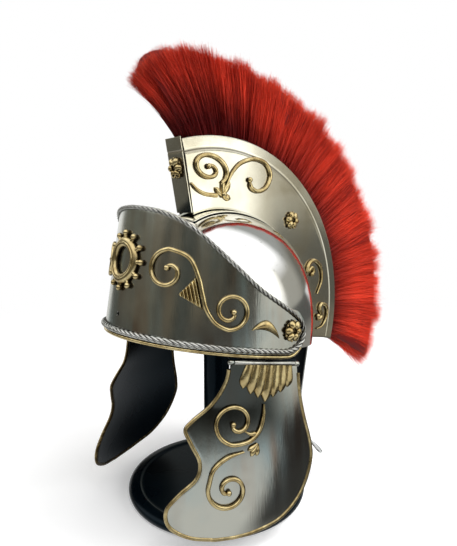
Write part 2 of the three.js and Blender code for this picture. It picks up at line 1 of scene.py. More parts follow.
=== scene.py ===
# %% [markdown]
# # A Roman legionary helmet on its display stand
# The helmet is a show piece in polished steel, with a high visor, gilt ornaments, a crest box with a
# red horsehair plume, a neck guard, and two cheek guards that swing on hinges.
# The CAD model gives every place and size. This lesson gives each part the smooth shape, the fine
# detail and the finish that a faceted solid can't have, in the order a metalworker would follow.

# %% Load the frame
import math
import bmesh
import bpy
import numpy as np
from mathutils import Matrix, Vector
from mathutils.kdtree import KDTree


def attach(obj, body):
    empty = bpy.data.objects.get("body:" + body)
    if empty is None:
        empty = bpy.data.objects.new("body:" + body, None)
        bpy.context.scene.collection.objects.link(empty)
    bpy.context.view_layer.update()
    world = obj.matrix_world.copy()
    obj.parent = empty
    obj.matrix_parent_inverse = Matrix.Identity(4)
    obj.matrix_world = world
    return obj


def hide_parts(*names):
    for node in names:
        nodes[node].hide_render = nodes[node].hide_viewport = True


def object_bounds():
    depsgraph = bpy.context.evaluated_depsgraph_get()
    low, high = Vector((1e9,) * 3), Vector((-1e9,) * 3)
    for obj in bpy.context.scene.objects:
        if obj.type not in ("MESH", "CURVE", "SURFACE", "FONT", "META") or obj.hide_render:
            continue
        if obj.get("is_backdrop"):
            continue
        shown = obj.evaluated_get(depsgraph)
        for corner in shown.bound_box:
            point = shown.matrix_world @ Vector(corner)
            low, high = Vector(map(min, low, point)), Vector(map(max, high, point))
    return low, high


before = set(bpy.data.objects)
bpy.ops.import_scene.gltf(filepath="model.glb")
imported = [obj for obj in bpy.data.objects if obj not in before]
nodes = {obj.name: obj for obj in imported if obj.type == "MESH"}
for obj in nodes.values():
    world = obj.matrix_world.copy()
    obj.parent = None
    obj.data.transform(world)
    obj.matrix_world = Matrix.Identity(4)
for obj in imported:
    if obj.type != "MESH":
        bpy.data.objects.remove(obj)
cad_low, cad_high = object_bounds()
HELMET, LEFT, RIGHT = "helmet_and_stand", "cheek_guard_left", "cheek_guard_right"
print("CAD nodes:", len(nodes), "height in mm:", round(1000 * cad_high.z, 1))

# %% [markdown]
# The camera comes first. It stands a little above the visor, in front and to the helmet's left,
# close enough that the near cheek guard looks larger than the far one.

# %% Camera
CAMERA_AT = Vector((0.3577, -0.2938, 0.2816))
CAMERA_LOOKS = Vector((-0.7496, 0.6493, -0.1288))
bpy.ops.object.camera_add(location=CAMERA_AT)
camera = bpy.context.object
camera.rotation_mode = "QUATERNION"
camera.rotation_quaternion = CAMERA_LOOKS.to_track_quat("-Z", "Y")
camera.data.lens = 31.07
camera.data.sensor_width = 36
camera.data.clip_start = 0.01
bpy.context.scene.camera = camera
print("camera looks down by", round(math.degrees(math.asin(-CAMERA_LOOKS.z)), 1), "degrees")

# %% [markdown]
# ## Working helpers
# An operator acts on everything that is selected, so each step starts by selecting one piece only.
# `carve` adds a modifier and applies it at once, so that a finished piece is a plain mesh. Lengths
# are in millimetres, as on a maker's drawing, and are turned into metres with `MM`.

# %% Selecting, naming and applying
MM = 0.001


def only(*chosen):
    if bpy.context.mode != "OBJECT":
        bpy.ops.object.mode_set(mode="OBJECT")
    bpy.ops.object.select_all(action="DESELECT")
    for piece in chosen:
        piece.select_set(True)
    bpy.context.view_layer.objects.active = chosen[0]


def named(name):
    piece = bpy.context.object
    piece.name = name
    piece.data.name = name
    return piece


def edit(piece, action="DESELECT"):
    only(piece)
    bpy.ops.object.mode_set(mode="EDIT")
    bpy.ops.mesh.select_all(action=action)


def leave_edit():
    bpy.ops.object.mode_set(mode="OBJECT")


def fix_place(piece):
    """Write a piece's place, turn and scale into its mesh."""
    only(piece)
    bpy.ops.object.transform_apply(location=True, rotation=True, scale=True)
    return piece


def copied(piece, name):
    only(piece)
    bpy.ops.object.duplicate()
    return named(name)


def joined(name, pieces):
    only(*pieces)
    if len(pieces) > 1:
        bpy.ops.object.join()
    return named(name)


print("one metre in mm:", round(1 / MM))


# %% [markdown]
# The shaping helpers clean, round and smooth a piece. `outside_out` merges doubled points and turns
# all faces outwards, which spinning and mirroring can upset. `write_values` gives points a number.

# %% Shaping helpers
def carve(piece, kind, **settings):
    only(piece)
    modifier = piece.modifiers.new(kind.title(), kind)
    for key, value in settings.items():
        setattr(modifier, key, value)
    bpy.ops.object.modifier_apply(modifier=modifier.name)


def round_edges(piece, width, segments, least_degrees=30):
    carve(piece, "BEVEL", width=width * MM, segments=segments, limit_method="ANGLE",
          angle_limit=math.radians(least_degrees))


def smooth(piece, degrees=35):
    only(piece)
    bpy.ops.object.shade_smooth_by_angle(angle=math.radians(degrees))
    return piece


def outside_out(piece):
    edit(piece, "SELECT")
    bpy.ops.mesh.remove_doubles(threshold=0.00001)
    bpy.ops.mesh.normals_make_consistent(inside=False)
    leave_edit()
    return piece


def write_values(mesh, label, values):
    """Give each point of a mesh a number that a material can read."""
    mesh.attributes.new(label, "FLOAT", "POINT").data.foreach_set("value", values)


def smoothstep(value, low, high):
    """0 up to low, 1 from high on, and a soft S between them."""
    share = min(max((value - low) / (high - low), 0), 1)
    return share * share * (3 - 2 * share)


print("halfway along, a soft step gives", smoothstep(0.5, 0, 1))

# %% [markdown]
# ## The helmet's own level frame
# The helmet leans back on its stand. It is far easier to model level, with z = 0 at the visor's
# lower edge and lengths in millimetres, and to seat each piece on the stand when it is done.

# %% Seating a piece on the stand
LEAN = math.radians(10.2)
RIM_HEIGHT = 156.8
SEAT = Matrix.Translation((0, 0, RIM_HEIGHT * MM)) @ Matrix.Rotation(-LEAN, 4, "X")


def place_at(piece, matrix):
    piece.matrix_world = matrix @ piece.matrix_world
    return fix_place(piece)


def seat(piece):
    return place_at(piece, SEAT)


def other_side(piece, name):
    twin = copied(piece, name)
    twin.scale.x = -1
    return outside_out(fix_place(twin))


print("the visor's lower edge stands", RIM_HEIGHT, "mm above the table")

# %% [markdown]
# ## The surfaces that sheet metal is laid on
# Four surfaces carry nearly everything: the domed bowl, the upright elliptic wall of the visor, the
# flat side of the crest box and the bent cheek plate. Each is a small function that turns flat
# coordinates and a lift off the surface into a point, so that a piece can be drawn flat and laid on.

# %% The bowl and the visor as surfaces
BOWL = dict(half_width=90, front=101, rear=109, middle=-5, height=124.6, fullness=2.3, wall=1.5, rim=7)
VISOR = dict(half_width=96, half_length=118.5, middle=5, wall=1.2, tip_radius=21.5, tip_at=162.5)


def bowl_half_length(y):
    return BOWL["front"] if y < BOWL["middle"] else BOWL["rear"]


def bowl_level(x, y, z):
    """Less than 1 inside the bowl's outer surface, 1 on it and more outside."""
    across = math.hypot(x / BOWL["half_width"], (y - BOWL["middle"]) / bowl_half_length(y))
    rise = max(z, 0) / BOWL["height"]
    return (across ** BOWL["fullness"] + rise ** BOWL["fullness"]) ** (1 / BOWL["fullness"])


def on_bowl(angle, x, lift):
    """The point seen at an angle up from the rear, in the upright plane at x."""
    away, up = math.cos(math.radians(angle)), math.sin(math.radians(angle))
    near, far = 40.0, 160.0
    for _ in range(30):
        middle = (near + far) / 2
        inside = bowl_level(x, BOWL["middle"] + middle * away, middle * up) < 1
        near, far = (middle, far) if inside else (near, middle)
    return Vector((x, BOWL["middle"] + (near + lift) * away, (near + lift) * up))


turns = np.linspace(0, math.radians(135), 2001)
wall_x = VISOR["half_width"] * np.sin(turns)
wall_y = VISOR["middle"] - VISOR["half_length"] * np.cos(turns)
travel = np.concatenate([[0], np.cumsum(np.hypot(np.diff(wall_x), np.diff(wall_y)))])


def on_visor(s, z, lift):
    """The point s along the visor's curve from the middle of its front, at height z."""
    turn = float(np.interp(abs(s), travel, turns))
    side = -1 if s < 0 else 1
    along = Vector((VISOR["half_width"] * math.cos(turn), VISOR["half_length"] * math.sin(turn))).normalized()
    x = VISOR["half_width"] * math.sin(turn) + lift * along.y
    y = VISOR["middle"] - VISOR["half_length"] * math.cos(turn) - lift * along.x
    return Vector((side * x, y, z))


print("the visor's half length along its curve in mm:", round(float(travel[-1]), 1))

# %% [markdown]
# The crest box is flat-sided and curved in outline. The cheek plate hangs from its hinge line, turned
# a little outwards, and bends round the jaw and under the chin.

# %% The crest side and the cheek plate as surfaces
CREST = dict(half_width=11.2, wall=1.2, radius=178, y=-2, z=17)
CHEEK = dict(front=(81.6, -54.9), rear=(96, 15.3), z=-4.6, hang=6.7, wall=1.2)
hinge_run = Vector(CHEEK["rear"]) - Vector(CHEEK["front"])
hinge_length = hinge_run.length
HINGE_AXIS = (Matrix.Translation((*CHEEK["front"], CHEEK["z"]))
              @ Matrix.Rotation(-math.atan2(hinge_run.x, hinge_run.y), 4, "Z"))
HANGING = HINGE_AXIS @ Matrix.Rotation(-math.radians(CHEEK["hang"]), 4, "Y")


def on_crest(y, z, lift):
    return Vector((CREST["half_width"] + lift, y, z))


def crest_arc(angle, radius):
    turn = math.radians(angle)
    return CREST["y"] + radius * math.cos(turn), CREST["z"] + radius * math.sin(turn)


def crest_radius(y, z):
    return math.hypot(y - CREST["y"], z - CREST["z"])


def on_cheek(u, v, lift):
    """The point u along the hinge and v down the plate, which bends round the jaw and the chin."""
    jaw = smoothstep(v, 0, 40) * (u - 60) ** 2 / 340
    chin = max(v - 70, 0) ** 2 / 800
    return HANGING @ Vector((lift - jaw - chin, u, -v))


print("the hinge's length in mm:", round(hinge_length, 1))

# %% [markdown]
# ## Two ways to make a part
# Sheet work starts as a flat grid whose points are laid on a surface, because sheet is cut flat and
# then beaten to shape. The Solidify modifier gives it its wall, and a small bevel softens the cut
# edge.

# %% Sheet metal
def sheet(name, columns, rows, place, wall, bevel=0.25, inside=True):
    """A wall of sheet laid on place(t, q, lift); inside gives its inner face the black paint."""
    bpy.ops.mesh.primitive_grid_add(x_subdivisions=columns, y_subdivisions=rows, size=1)
    piece = named(name)
    for vertex in piece.data.vertices:
        vertex.co = place(vertex.co.x + 0.5, vertex.co.y + 0.5, 0) * MM
    middle, outward = place(0.5, 0.5, 0), place(0.5, 0.5, 1) - place(0.5, 0.5, 0)
    face = min(piece.data.polygons, key=lambda face: (face.center - middle * MM).length)
    if face.normal.dot(outward) < 0:
        edit(piece, "SELECT")
        bpy.ops.mesh.flip_normals()
        leave_edit()
    if inside:
        piece.data.materials.append(None)
        piece.data.materials.append(None)
    carve(piece, "SOLIDIFY", thickness=wall * MM, offset=-1, material_offset=1 if inside else 0)
    if bevel:
        round_edges(piece, bevel, 2, 50)
    return smooth(piece)


def between(edge_a, edge_b, wrap):
    """A placing function for the strip between two flat edge curves."""
    def place(t, q, lift):
        a, b = edge_a(t), edge_b(t)
        return wrap(a[0] + (b[0] - a[0]) * q, a[1] + (b[1] - a[1]) * q, lift)
    return place


for part, sizes in (("bowl", BOWL), ("visor", VISOR), ("crest", CREST), ("cheek", CHEEK)):
    print(part, "wall in mm:", sizes["wall"])

# %% [markdown]
# Wire and beading start as a Bezier curve with a round bevel, turned into a mesh. The curve runs
# through points that are spaced evenly first, so that the wire has no pinched places.

# %% Wire and beading
def rounded_route(points, count, closed=False):
    """Evenly spaced flat points on a smooth curve through the given ones."""
    p = np.array(points, float)
    p = np.vstack([p[-1:], p, p[:2]]) if closed else np.vstack([2 * p[0] - p[1], p, 2 * p[-1] - p[-2]])
    t = np.linspace(0, 1, 24, endpoint=False)[:, None]
    spans = []
    for i in range(1, len(p) - 2):
        a, b, c, d = p[i - 1], p[i], p[i + 1], p[i + 2]
        spans.append(0.5 * (2 * b + (c - a) * t + (2 * a - 5 * b + 4 * c - d) * t ** 2
                            + (3 * b - a - 3 * c + d) * t ** 3))
    fine = np.vstack(spans + [p[-2][None, :]])
    far = np.concatenate([[0], np.cumsum(np.linalg.norm(np.diff(fine, axis=0), axis=1))])
    at = np.linspace(0, far[-1], count, endpoint=not closed)
    return np.stack([np.interp(at, far, fine[:, k]) for k in range(fine.shape[1])], axis=1)


def bar(name, places, radius, thick=None, closed=False, rings=3, sides=3):
    """A round bar through points in millimetres; thick gives its share of the radius along it."""
    bpy.ops.curve.primitive_bezier_curve_add()
    curve = named(name)
    spline = curve.data.splines[0]
    spline.bezier_points.add(len(places) - 2)
    spline.use_cyclic_u = closed
    for i, (knot, point) in enumerate(zip(spline.bezier_points, places)):
        knot.co = Vector(point) * MM
        knot.handle_left_type = knot.handle_right_type = "AUTO"
        knot.radius = thick(i / (len(places) - 1)) if thick else 1
    curve.data.dimensions = "3D"
    curve.data.bevel_depth = radius * MM
    curve.data.bevel_resolution = sides
    curve.data.resolution_u = rings
    curve.data.use_fill_caps = True
    curve.location = (0, 0, 0)
    only(curve)
    bpy.ops.object.convert(target="MESH")
    return smooth(outside_out(named(name)), 60)


def wire_on(name, points, radius, wrap, lift, count=40, thick=None):
    route = rounded_route(points, count)
    return bar(name, [wrap(a, b, lift) for a, b in route], radius, thick)


print("a smooth route from 0 to 10 passes", rounded_route([(0, 0), (4, 3), (10, 0)], 3)[1].round(1))


# %% [markdown]
# Scrollwork has a few words that come back everywhere: a bead at each eye, a spiral that closes on
# it, and a wire that swells in the middle and fades at its ends.

# %% Balls and spirals
def ball(name, radius, at=(0, 0, 0), segments=16, rings=10):
    bpy.ops.mesh.primitive_uv_sphere_add(segments=segments, ring_count=rings, radius=radius * MM,
                                         location=Vector(at) * MM)
    return named(name)


def bead(name, at, radius):
    return smooth(fix_place(ball(name, radius, at)), 60)


def volute(centre_a, centre_b, outer, eye, start, end, power=1.4, stretch=1):
    """Flat points on a spiral that turns in from its outer radius to its eye."""
    count = round(abs(end - start) / 20)
    points = []
    for i in range(count + 1):
        part = i / count
        radius = outer + (eye - outer) * part ** power
        turn = math.radians(start + (end - start) * part)
        points.append((centre_a + stretch * radius * math.cos(turn), centre_b + radius * math.sin(turn)))
    return points


def fade_ends(start, end, least=0.5):
    """A wire's thickness: least at both ends, and full after the start and before the end share."""
    def thick(share):
        return least + (1 - least) * min(smoothstep(share, 0, start), smoothstep(1 - share, 0, end))
    return thick


print("a spiral of one turn has", len(volute(0, 0, 10, 2, 0, 360)), "points")

# %% [markdown]
# ## Where the patina sits
# The gilt ornaments are bright on top and nearly black where they meet the plate, because polish
# never reaches there. Each ornament carries a number for that, called `recess`: 0 where a point
# faces away from the plate and 1 where it faces along it or towards it. The material reads it.

# %% Marking the recesses
def mark_recess(piece, outward, extra=None, clear=0.4, least=0.0):
    """outward is a direction, or a function that gives one for a point."""
    values = []
    for vertex in piece.data.vertices:
        facing = vertex.normal.dot(outward(vertex.co) if callable(outward) else outward)
        hidden = 1 - smoothstep(facing, -0.15, clear)
        more = extra(vertex.co) if extra else 0
        values.append(min(1, max(hidden, more, least)))
    write_values(piece.data, "recess", values)
    return piece


def visor_outward(point):
    x, y = point.x / MM, point.y / MM - VISOR["middle"]
    return Vector((x / VISOR["half_width"] ** 2, y / VISOR["half_length"] ** 2, 0)).normalized()


CREST_OUTWARD = Vector((1, 0, 0))
CHEEK_OUTWARD = (HANGING.to_3x3() @ Vector((1, 0, 0))).normalized()
print("the cheek plate faces", [round(v, 2) for v in CHEEK_OUTWARD])

# %% [markdown]
# ## Finishes
# Metal looks like metal through what it reflects, so most of the work is in its roughness and in
# very shallow bumps. The effects that several finishes share are node groups: uneven polish,
# drawn-out brush lines, hairline scratches, and the patina of the recesses.

# %% Node helpers
def add(tree, kind, inputs=None, **settings):
    made = tree.nodes.new(kind)
    for key, value in settings.items():
        setattr(made, key, value)
    for key, value in (inputs or {}).items():
        if isinstance(value, bpy.types.NodeSocket):
            tree.links.new(value, made.inputs[key])
        else:
            made.inputs[key].default_value = value
    return made


def maths(tree, operation, *values, clamp=False):
    return add(tree, "ShaderNodeMath", dict(enumerate(values)), operation=operation,
               use_clamp=clamp).outputs[0]


def noise(tree, where, scale, detail=2.0):
    return add(tree, "ShaderNodeTexNoise", {"Vector": where, "Scale": scale, "Detail": detail}).outputs["Fac"]


def stretched(tree, where, scale, turn=(0, 0, 0)):
    return add(tree, "ShaderNodeMapping", {"Vector": where, "Rotation": turn, "Scale": scale}).outputs[0]


def carried(tree, label):
    """The number that a piece's points carry under this label."""
    return add(tree, "ShaderNodeAttribute", attribute_name=label).outputs["Fac"]


def spread(tree, value, low, high, to_low=0.0, to_high=1.0):
    """Stretch the band from low to high of a value over a new range, and clamp it."""
    return add(tree, "ShaderNodeMapRange", {"Value": value, "From Min": low, "From Max": high,
                                            "To Min": to_low, "To Max": to_high}).outputs["Result"]


def blend_colour(tree, share, first, second):
    mix = add(tree, "ShaderNodeMix", {0: share}, data_type="RGBA")
    for socket, colour in ((mix.inputs[6], first), (mix.inputs[7], second)):
        if isinstance(colour, bpy.types.NodeSocket):
            tree.links.new(colour, socket)
        else:
            socket.default_value = (*colour, 1)
    return mix.outputs[2]


print("the helmet's lean, which turns the brush lines, is", round(math.degrees(LEAN), 1), "degrees")


# %% [markdown]
# A node group is built once and placed in each material with its own values. All of these take the
# place on the piece and one number, and give back masks from 0 to 1.

# %% Making a node group
def new_group(name, label, value):
    """A node group that takes a Vector and one number, and the two sockets that bring them in."""
    group = bpy.data.node_groups.new(name, "ShaderNodeTree")
    group.interface.new_socket("Vector", in_out="INPUT", socket_type="NodeSocketVector")
    group.interface.new_socket(label, in_out="INPUT", socket_type="NodeSocketFloat").default_value = value
    brought = group.nodes.new("NodeGroupInput").outputs
    return group, brought["Vector"], brought[label]


def put_out(group, **values):
    for label in values:
        group.interface.new_socket(label, in_out="OUTPUT", socket_type="NodeSocketFloat")
    way_out = group.nodes.new("NodeGroupOutput")
    for label, value in values.items():
        group.links.new(value, way_out.inputs[label])
    print("effect made:", group.name, list(values))


def effect(tree, group, **inputs):
    return add(tree, "ShaderNodeGroup", inputs, node_tree=group).outputs

# %% [markdown]
# Hand polish is never even: it leaves clouds a few centimetres wide over a very fine grain. A brush
# leaves broad bands and, far finer, the lines themselves.

# %% Uneven polish and brush lines
uneven_polish, where, scale = new_group("uneven_polish", "Scale", 20)
put_out(uneven_polish,
        Clouds=spread(uneven_polish, noise(uneven_polish, where, scale, 3.0), 0.35, 0.65),
        Grain=spread(uneven_polish, noise(uneven_polish, where, 900.0), 0.3, 0.7))

brush_lines, where, scale = new_group("brush_lines", "Scale", 60)
fine_scale = maths(brush_lines, "MULTIPLY", scale, 22.0)
put_out(brush_lines,
        Bands=spread(brush_lines, noise(brush_lines, where, scale), 0.36, 0.64),
        Lines=spread(brush_lines, noise(brush_lines, where, fine_scale, 1.0), 0.25, 0.75))

# %% [markdown]
# Scratches are noise that is stretched until only thin streaks of it rise above a high level, drawn
# in two directions. Patina is the `recess` number made blotchy, because dirt doesn't sit evenly.

# %% Hairline scratches and patina
scratches, where, scale = new_group("hairline_scratches", "Scale", 30)
found = []
for turned in ((0.4, 0.9, 0.3), (1.3, -0.5, 2.1)):
    streak = noise(scratches, stretched(scratches, where, (1.0, 26.0, 26.0), turned), scale, 1.0)
    found.append(spread(scratches, streak, 0.70, 0.76))
put_out(scratches, Scratch=maths(scratches, "MAXIMUM", *found))

patina, where, recess = new_group("patina", "Recess", 0)
uneven = spread(patina, noise(patina, where, 260.0, 3.0), 0.3, 0.7, -0.2, 0.28)
put_out(patina, Dark=maths(patina, "ADD", recess, uneven, clamp=True))


# %% [markdown]
# Every material starts from the same shader and place, and ends by joining up the same three
# sockets, so both ends are helpers.

# %% Starting and ending a material
def new_material(name, metallic=0.0, specular=0.5):
    material = bpy.data.materials.new(name)
    material.use_nodes = True
    tree = material.node_tree
    shader = tree.nodes["Principled BSDF"]
    shader.inputs["Metallic"].default_value = metallic
    shader.inputs["Specular IOR Level"].default_value = specular
    print("finish:", name)
    return material, tree, shader, add(tree, "ShaderNodeTexCoord").outputs["Object"]


def finish(tree, shader, colour, roughness, height, strength, distance):
    """Join up a shader's colour, its roughness and its shallow dents."""
    bump = add(tree, "ShaderNodeBump", {"Height": height, "Strength": strength, "Distance": distance})
    joins = {"Base Color": colour, "Roughness": roughness, "Normal": bump.outputs["Normal"]}
    for label, value in joins.items():
        tree.links.new(value, shader.inputs[label])

# %% [markdown]
# The bowl is polished almost to a mirror. A perfect mirror looks false, so its polish is cloudy,
# with a very shallow waviness from the hammer and a few hairline scratches.

# %% Polished steel
polished_steel, tree, shader, where = new_material("polished_steel", metallic=1.0)
clouds = effect(tree, uneven_polish, Vector=where, Scale=14.0)["Clouds"]
scratch = effect(tree, scratches, Vector=where, Scale=14.0)["Scratch"]
tone = blend_colour(tree, clouds, (0.83, 0.83, 0.82), (0.75, 0.755, 0.74))
tone = blend_colour(tree, scratch, tone, (0.66, 0.66, 0.64))
wavy = maths(tree, "MULTIPLY_ADD", scratch, -0.05, clouds)
finish(tree, shader, tone, spread(tree, clouds, 0, 1, 0.08, 0.15), wavy, 0.1, 0.0012)

# %% [markdown]
# The visor and cheek plates are brushed upright, so their brush lines are noise that is drawn out
# along the helmet's own upright axis. A Mapping node turns it by the helmet's lean. The broad bands
# get a warm and a cool tone, which are partly brushing and partly painted reflection streaks. Where
# `recess` is high, on the upper front of the cheek plates, the steel is painted dark: a painted
# shadow of the visor.

# %% Brushed steel
brushed_steel, tree, shader, where = new_material("brushed_steel", metallic=1.0)
upright = stretched(tree, where, (1, 1, 0.04), (LEAN, 0, 0))
brush = effect(tree, brush_lines, Vector=upright, Scale=60.0)
clouds = effect(tree, uneven_polish, Vector=where, Scale=16.0)["Clouds"]
# Warm and cool band tones: partly brushing, partly painted reflection streaks of the room.
tone = blend_colour(tree, brush["Bands"], (0.34, 0.28, 0.225), (0.43, 0.535, 0.535))
tone = blend_colour(tree, clouds, tone, (0.60, 0.60, 0.53))
# Painted shadow of the visor: where `recess` is high on the cheek plates, the steel is painted near black.
tone = blend_colour(tree, carried(tree, "recess"), tone, (0.045, 0.05, 0.045))
finish(tree, shader, tone, spread(tree, brush["Bands"], 0, 1, 0.15, 0.24), brush["Lines"], 0.10, 0.0003)

# %% [markdown]
# The crest box is a warmer, softer steel with a faint yellow cast, brushed along its length. It is
# tarnished in clouds, and it is darker towards the bottom, near the neck.

# %% Crest steel
crest_steel, tree, shader, where = new_material("crest_steel", metallic=1.0)
brush = effect(tree, brush_lines, Vector=stretched(tree, where, (1, 0.12, 1), (0.5, 0, 0)), Scale=40.0)
clouds = effect(tree, uneven_polish, Vector=where, Scale=15.0)["Clouds"]
height = add(tree, "ShaderNodeSeparateXYZ", {0: where}).outputs["Z"]
# Darker towards the bottom of the crest, and tarnished in clouds.
tarnish_and_darker_low = maths(tree, "MULTIPLY_ADD", spread(tree, height, 0.29, 0.17), 0.6, clouds, clamp=True)
tone = blend_colour(tree, tarnish_and_darker_low, (1.0, 0.98, 0.86), (0.60, 0.55, 0.42))
tone = blend_colour(tree, spread(tree, brush["Bands"], 0, 1, 0, 0.5), tone, (0.84, 0.81, 0.69))
tone = blend_colour(tree, carried(tree, "recess"), tone, (0.16, 0.13, 0.085))
finish(tree, shader, tone, spread(tree, clouds, 0, 1, 0.13, 0.24), brush["Lines"], 0.03, 0.0003)

# %% [markdown]
# The roped bead, the hinge sleeve and the neck guard's roll are plain bright steel, with the same
# dark patina in their furrows as the ornaments have.

# %% Bright steel
bright_steel, tree, shader, where = new_material("bright_steel", metallic=1.0)
polish = effect(tree, uneven_polish, Vector=where, Scale=60.0)
dark = effect(tree, patina, Vector=where, Recess=carried(tree, "recess"))["Dark"]
tone = blend_colour(tree, polish["Clouds"], (0.62, 0.62, 0.59), (0.42, 0.42, 0.39))
tone = blend_colour(tree, dark, tone, (0.045, 0.042, 0.036))
finish(tree, shader, tone, spread(tree, polish["Clouds"], 0, 1, 0.12, 0.24), polish["Grain"], 0.08, 0.0002)

# %% [markdown]
# The ornaments are cast and gilt. Their metal is pale gold, and where the `recess` number is high
# it turns to a rough brown-black.

# %% Gilt brass
gilt_brass, tree, shader, where = new_material("gilt_brass", metallic=1.0)
clouds = effect(tree, uneven_polish, Vector=where, Scale=90.0)["Clouds"]
dark = effect(tree, patina, Vector=where, Recess=carried(tree, "recess"))["Dark"]
tone = blend_colour(tree, clouds, (0.77, 0.63, 0.33), (0.47, 0.35, 0.155))
tone = blend_colour(tree, dark, tone, (0.05, 0.033, 0.014))
finish(tree, shader, tone, maths(tree, "MULTIPLY_ADD", dark, 0.3, 0.2), clouds, 0.25, 0.0004)

# %% [markdown]
# Inside, and on the stand, is a gloss black paint with a blue tint. Paint is never quite level, so
# it has a faint orange-peel bump, and a little dust makes its gloss uneven.

# %% Black paint
black_paint, tree, shader, where = new_material("black_paint", specular=0.13)
shader.inputs["Specular Tint"].default_value = (0.55, 0.8, 1.0, 1)
clouds = effect(tree, uneven_polish, Vector=where, Scale=12.0)["Clouds"]
tone = blend_colour(tree, clouds, (0.0007, 0.0024, 0.0042), (0.0016, 0.0046, 0.0070))
orange_peel = noise(tree, where, 480.0, 1.0)
finish(tree, shader, tone, spread(tree, clouds, 0, 1, 0.24, 0.32), orange_peel, 0.03, 0.0003)

# %% [markdown]
# Dyed horsehair is deep red at the root, where little light reaches, and brighter to the tip. Each
# hair carries `along`, its place from root to tip, pushed towards the root at the front as painted
# shade, and `shade`, a tone of its own with painted light in it: lighter at the rear, darker at the front.

# %% Red horsehair
red_hair, tree, shader, where = new_material("red_hair", specular=0.12)
along, shade = carried(tree, "along"), carried(tree, "shade")
tone = blend_colour(tree, spread(tree, shade, 0.0, 1.0), (0.14, 0.004, 0.003), (0.75, 0.050, 0.021))
tone = blend_colour(tree, spread(tree, along, 0.52, 0.05), tone, (0.07, 0.002, 0.002))
tone = blend_colour(tree, spread(tree, along, 0.82, 1.0, 0.0, 0.5), tone, (0.78, 0.098, 0.048))
flecks = effect(tree, uneven_polish, Vector=where, Scale=300.0)["Grain"]
finish(tree, shader, tone, spread(tree, shade, 0, 1, 0.45, 0.62), flecks, 0.2, 0.0003)

# %% [markdown]
# ## Finishing a piece
# A finished piece gets its material and the body that it moves with, and the CAD solids that it
# stands for are hidden. A piece with an inner face has the black paint there. What is made for the
# left side is mirrored to the right.

# %% Giving a piece its finish and its place
SLOTS = {"polished_steel": polished_steel, "brushed_steel": brushed_steel, "crest_steel": crest_steel,
         "bright_steel": bright_steel, "gilt_brass": gilt_brass, "black_lacquer": black_paint,
         "red_hair": red_hair}
BOTH_ON_HELMET, CHEEKS = (HELMET, HELMET), (LEFT, RIGHT)


def painted(node, slot):
    """Give a CAD node that stays as it is one of the finishes."""
    nodes[node].data.materials.clear()
    nodes[node].data.materials.append(SLOTS[slot])


def done(piece, slot, body, *stands_for):
    materials = piece.data.materials
    if len(materials) > 1:
        materials[0], materials[1] = SLOTS[slot], black_paint
    else:
        materials.clear()
        materials.append(SLOTS[slot])
    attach(piece, body)
    if stands_for:
        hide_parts(*stands_for)
    return piece


def pair_done(piece, slot, stem, node, bodies=BOTH_ON_HELMET):
    """Finish a left piece and its mirror image on the right."""
    twin = other_side(piece, f"{stem}_right")
    done(piece, slot, bodies[0], f"{node}_left")
    done(twin, slot, bodies[1], f"{node}_right")


def cast_pair(stem, node, parts, outward, bodies=BOTH_ON_HELMET, **marks):
    """Join a left ornament's parts, mark its recesses, seat it, and mirror it to the right."""
    ornament = mark_recess(joined(f"{stem}_left", parts), outward, **marks)
    pair_done(seat(ornament), "gilt_brass", stem, node, bodies)


print("finishes:", len(SLOTS))

# %% [markdown]
# ## The bowl
# A helmet bowl is raised from one round of sheet. Spinning its half profile makes a round dome with
# clean quads, and the dome is then stretched: a little to the front and more to the back, because a
# head is longer than it is wide.

# %% Draw a profile and spin it
def drawn_profile(name, points):
    bpy.ops.mesh.primitive_plane_add(size=0.001)
    piece = named(name)
    edit(piece, "SELECT")
    bpy.ops.mesh.merge(type="CENTER")
    here = Vector((points[0][0], 0, points[0][1])) * MM
    bpy.ops.transform.translate(value=here)
    for radius, height in points[1:]:
        there = Vector((radius, 0, height)) * MM
        bpy.ops.mesh.extrude_region_move(TRANSFORM_OT_translate={"value": there - here})
        here = there
    leave_edit()
    return piece


def spun(name, points, steps):
    piece = drawn_profile(name, points)
    edit(piece, "SELECT")
    bpy.ops.mesh.spin(steps=steps, angle=2 * math.pi, center=(0, 0, 0), axis=(0, 0, 1))
    leave_edit()
    return outside_out(piece)


def dome_profile(thickness, rim_height, count):
    rim_turn = math.asin((rim_height / BOWL["height"]) ** (BOWL["fullness"] / 2))
    share = 2 / BOWL["fullness"]
    points = []
    for i in range(count + 1):
        turn = math.pi / 2 + (rim_turn - math.pi / 2) * i / count
        radius = (BOWL["half_width"] - thickness) * max(math.cos(turn), 0) ** share
        points.append((radius, (BOWL["height"] - thickness) * math.sin(turn) ** share))
    return points


print("radius of the rim before stretching in mm:", round(dome_profile(0, BOWL["rim"], 30)[-1][0], 1))

# %% [markdown]
# The dome is spun with its inner wall in one go. Stretching its front and its rear half by different
# amounts gives it a head's length. Faces on the inner wall are marked for the black paint.

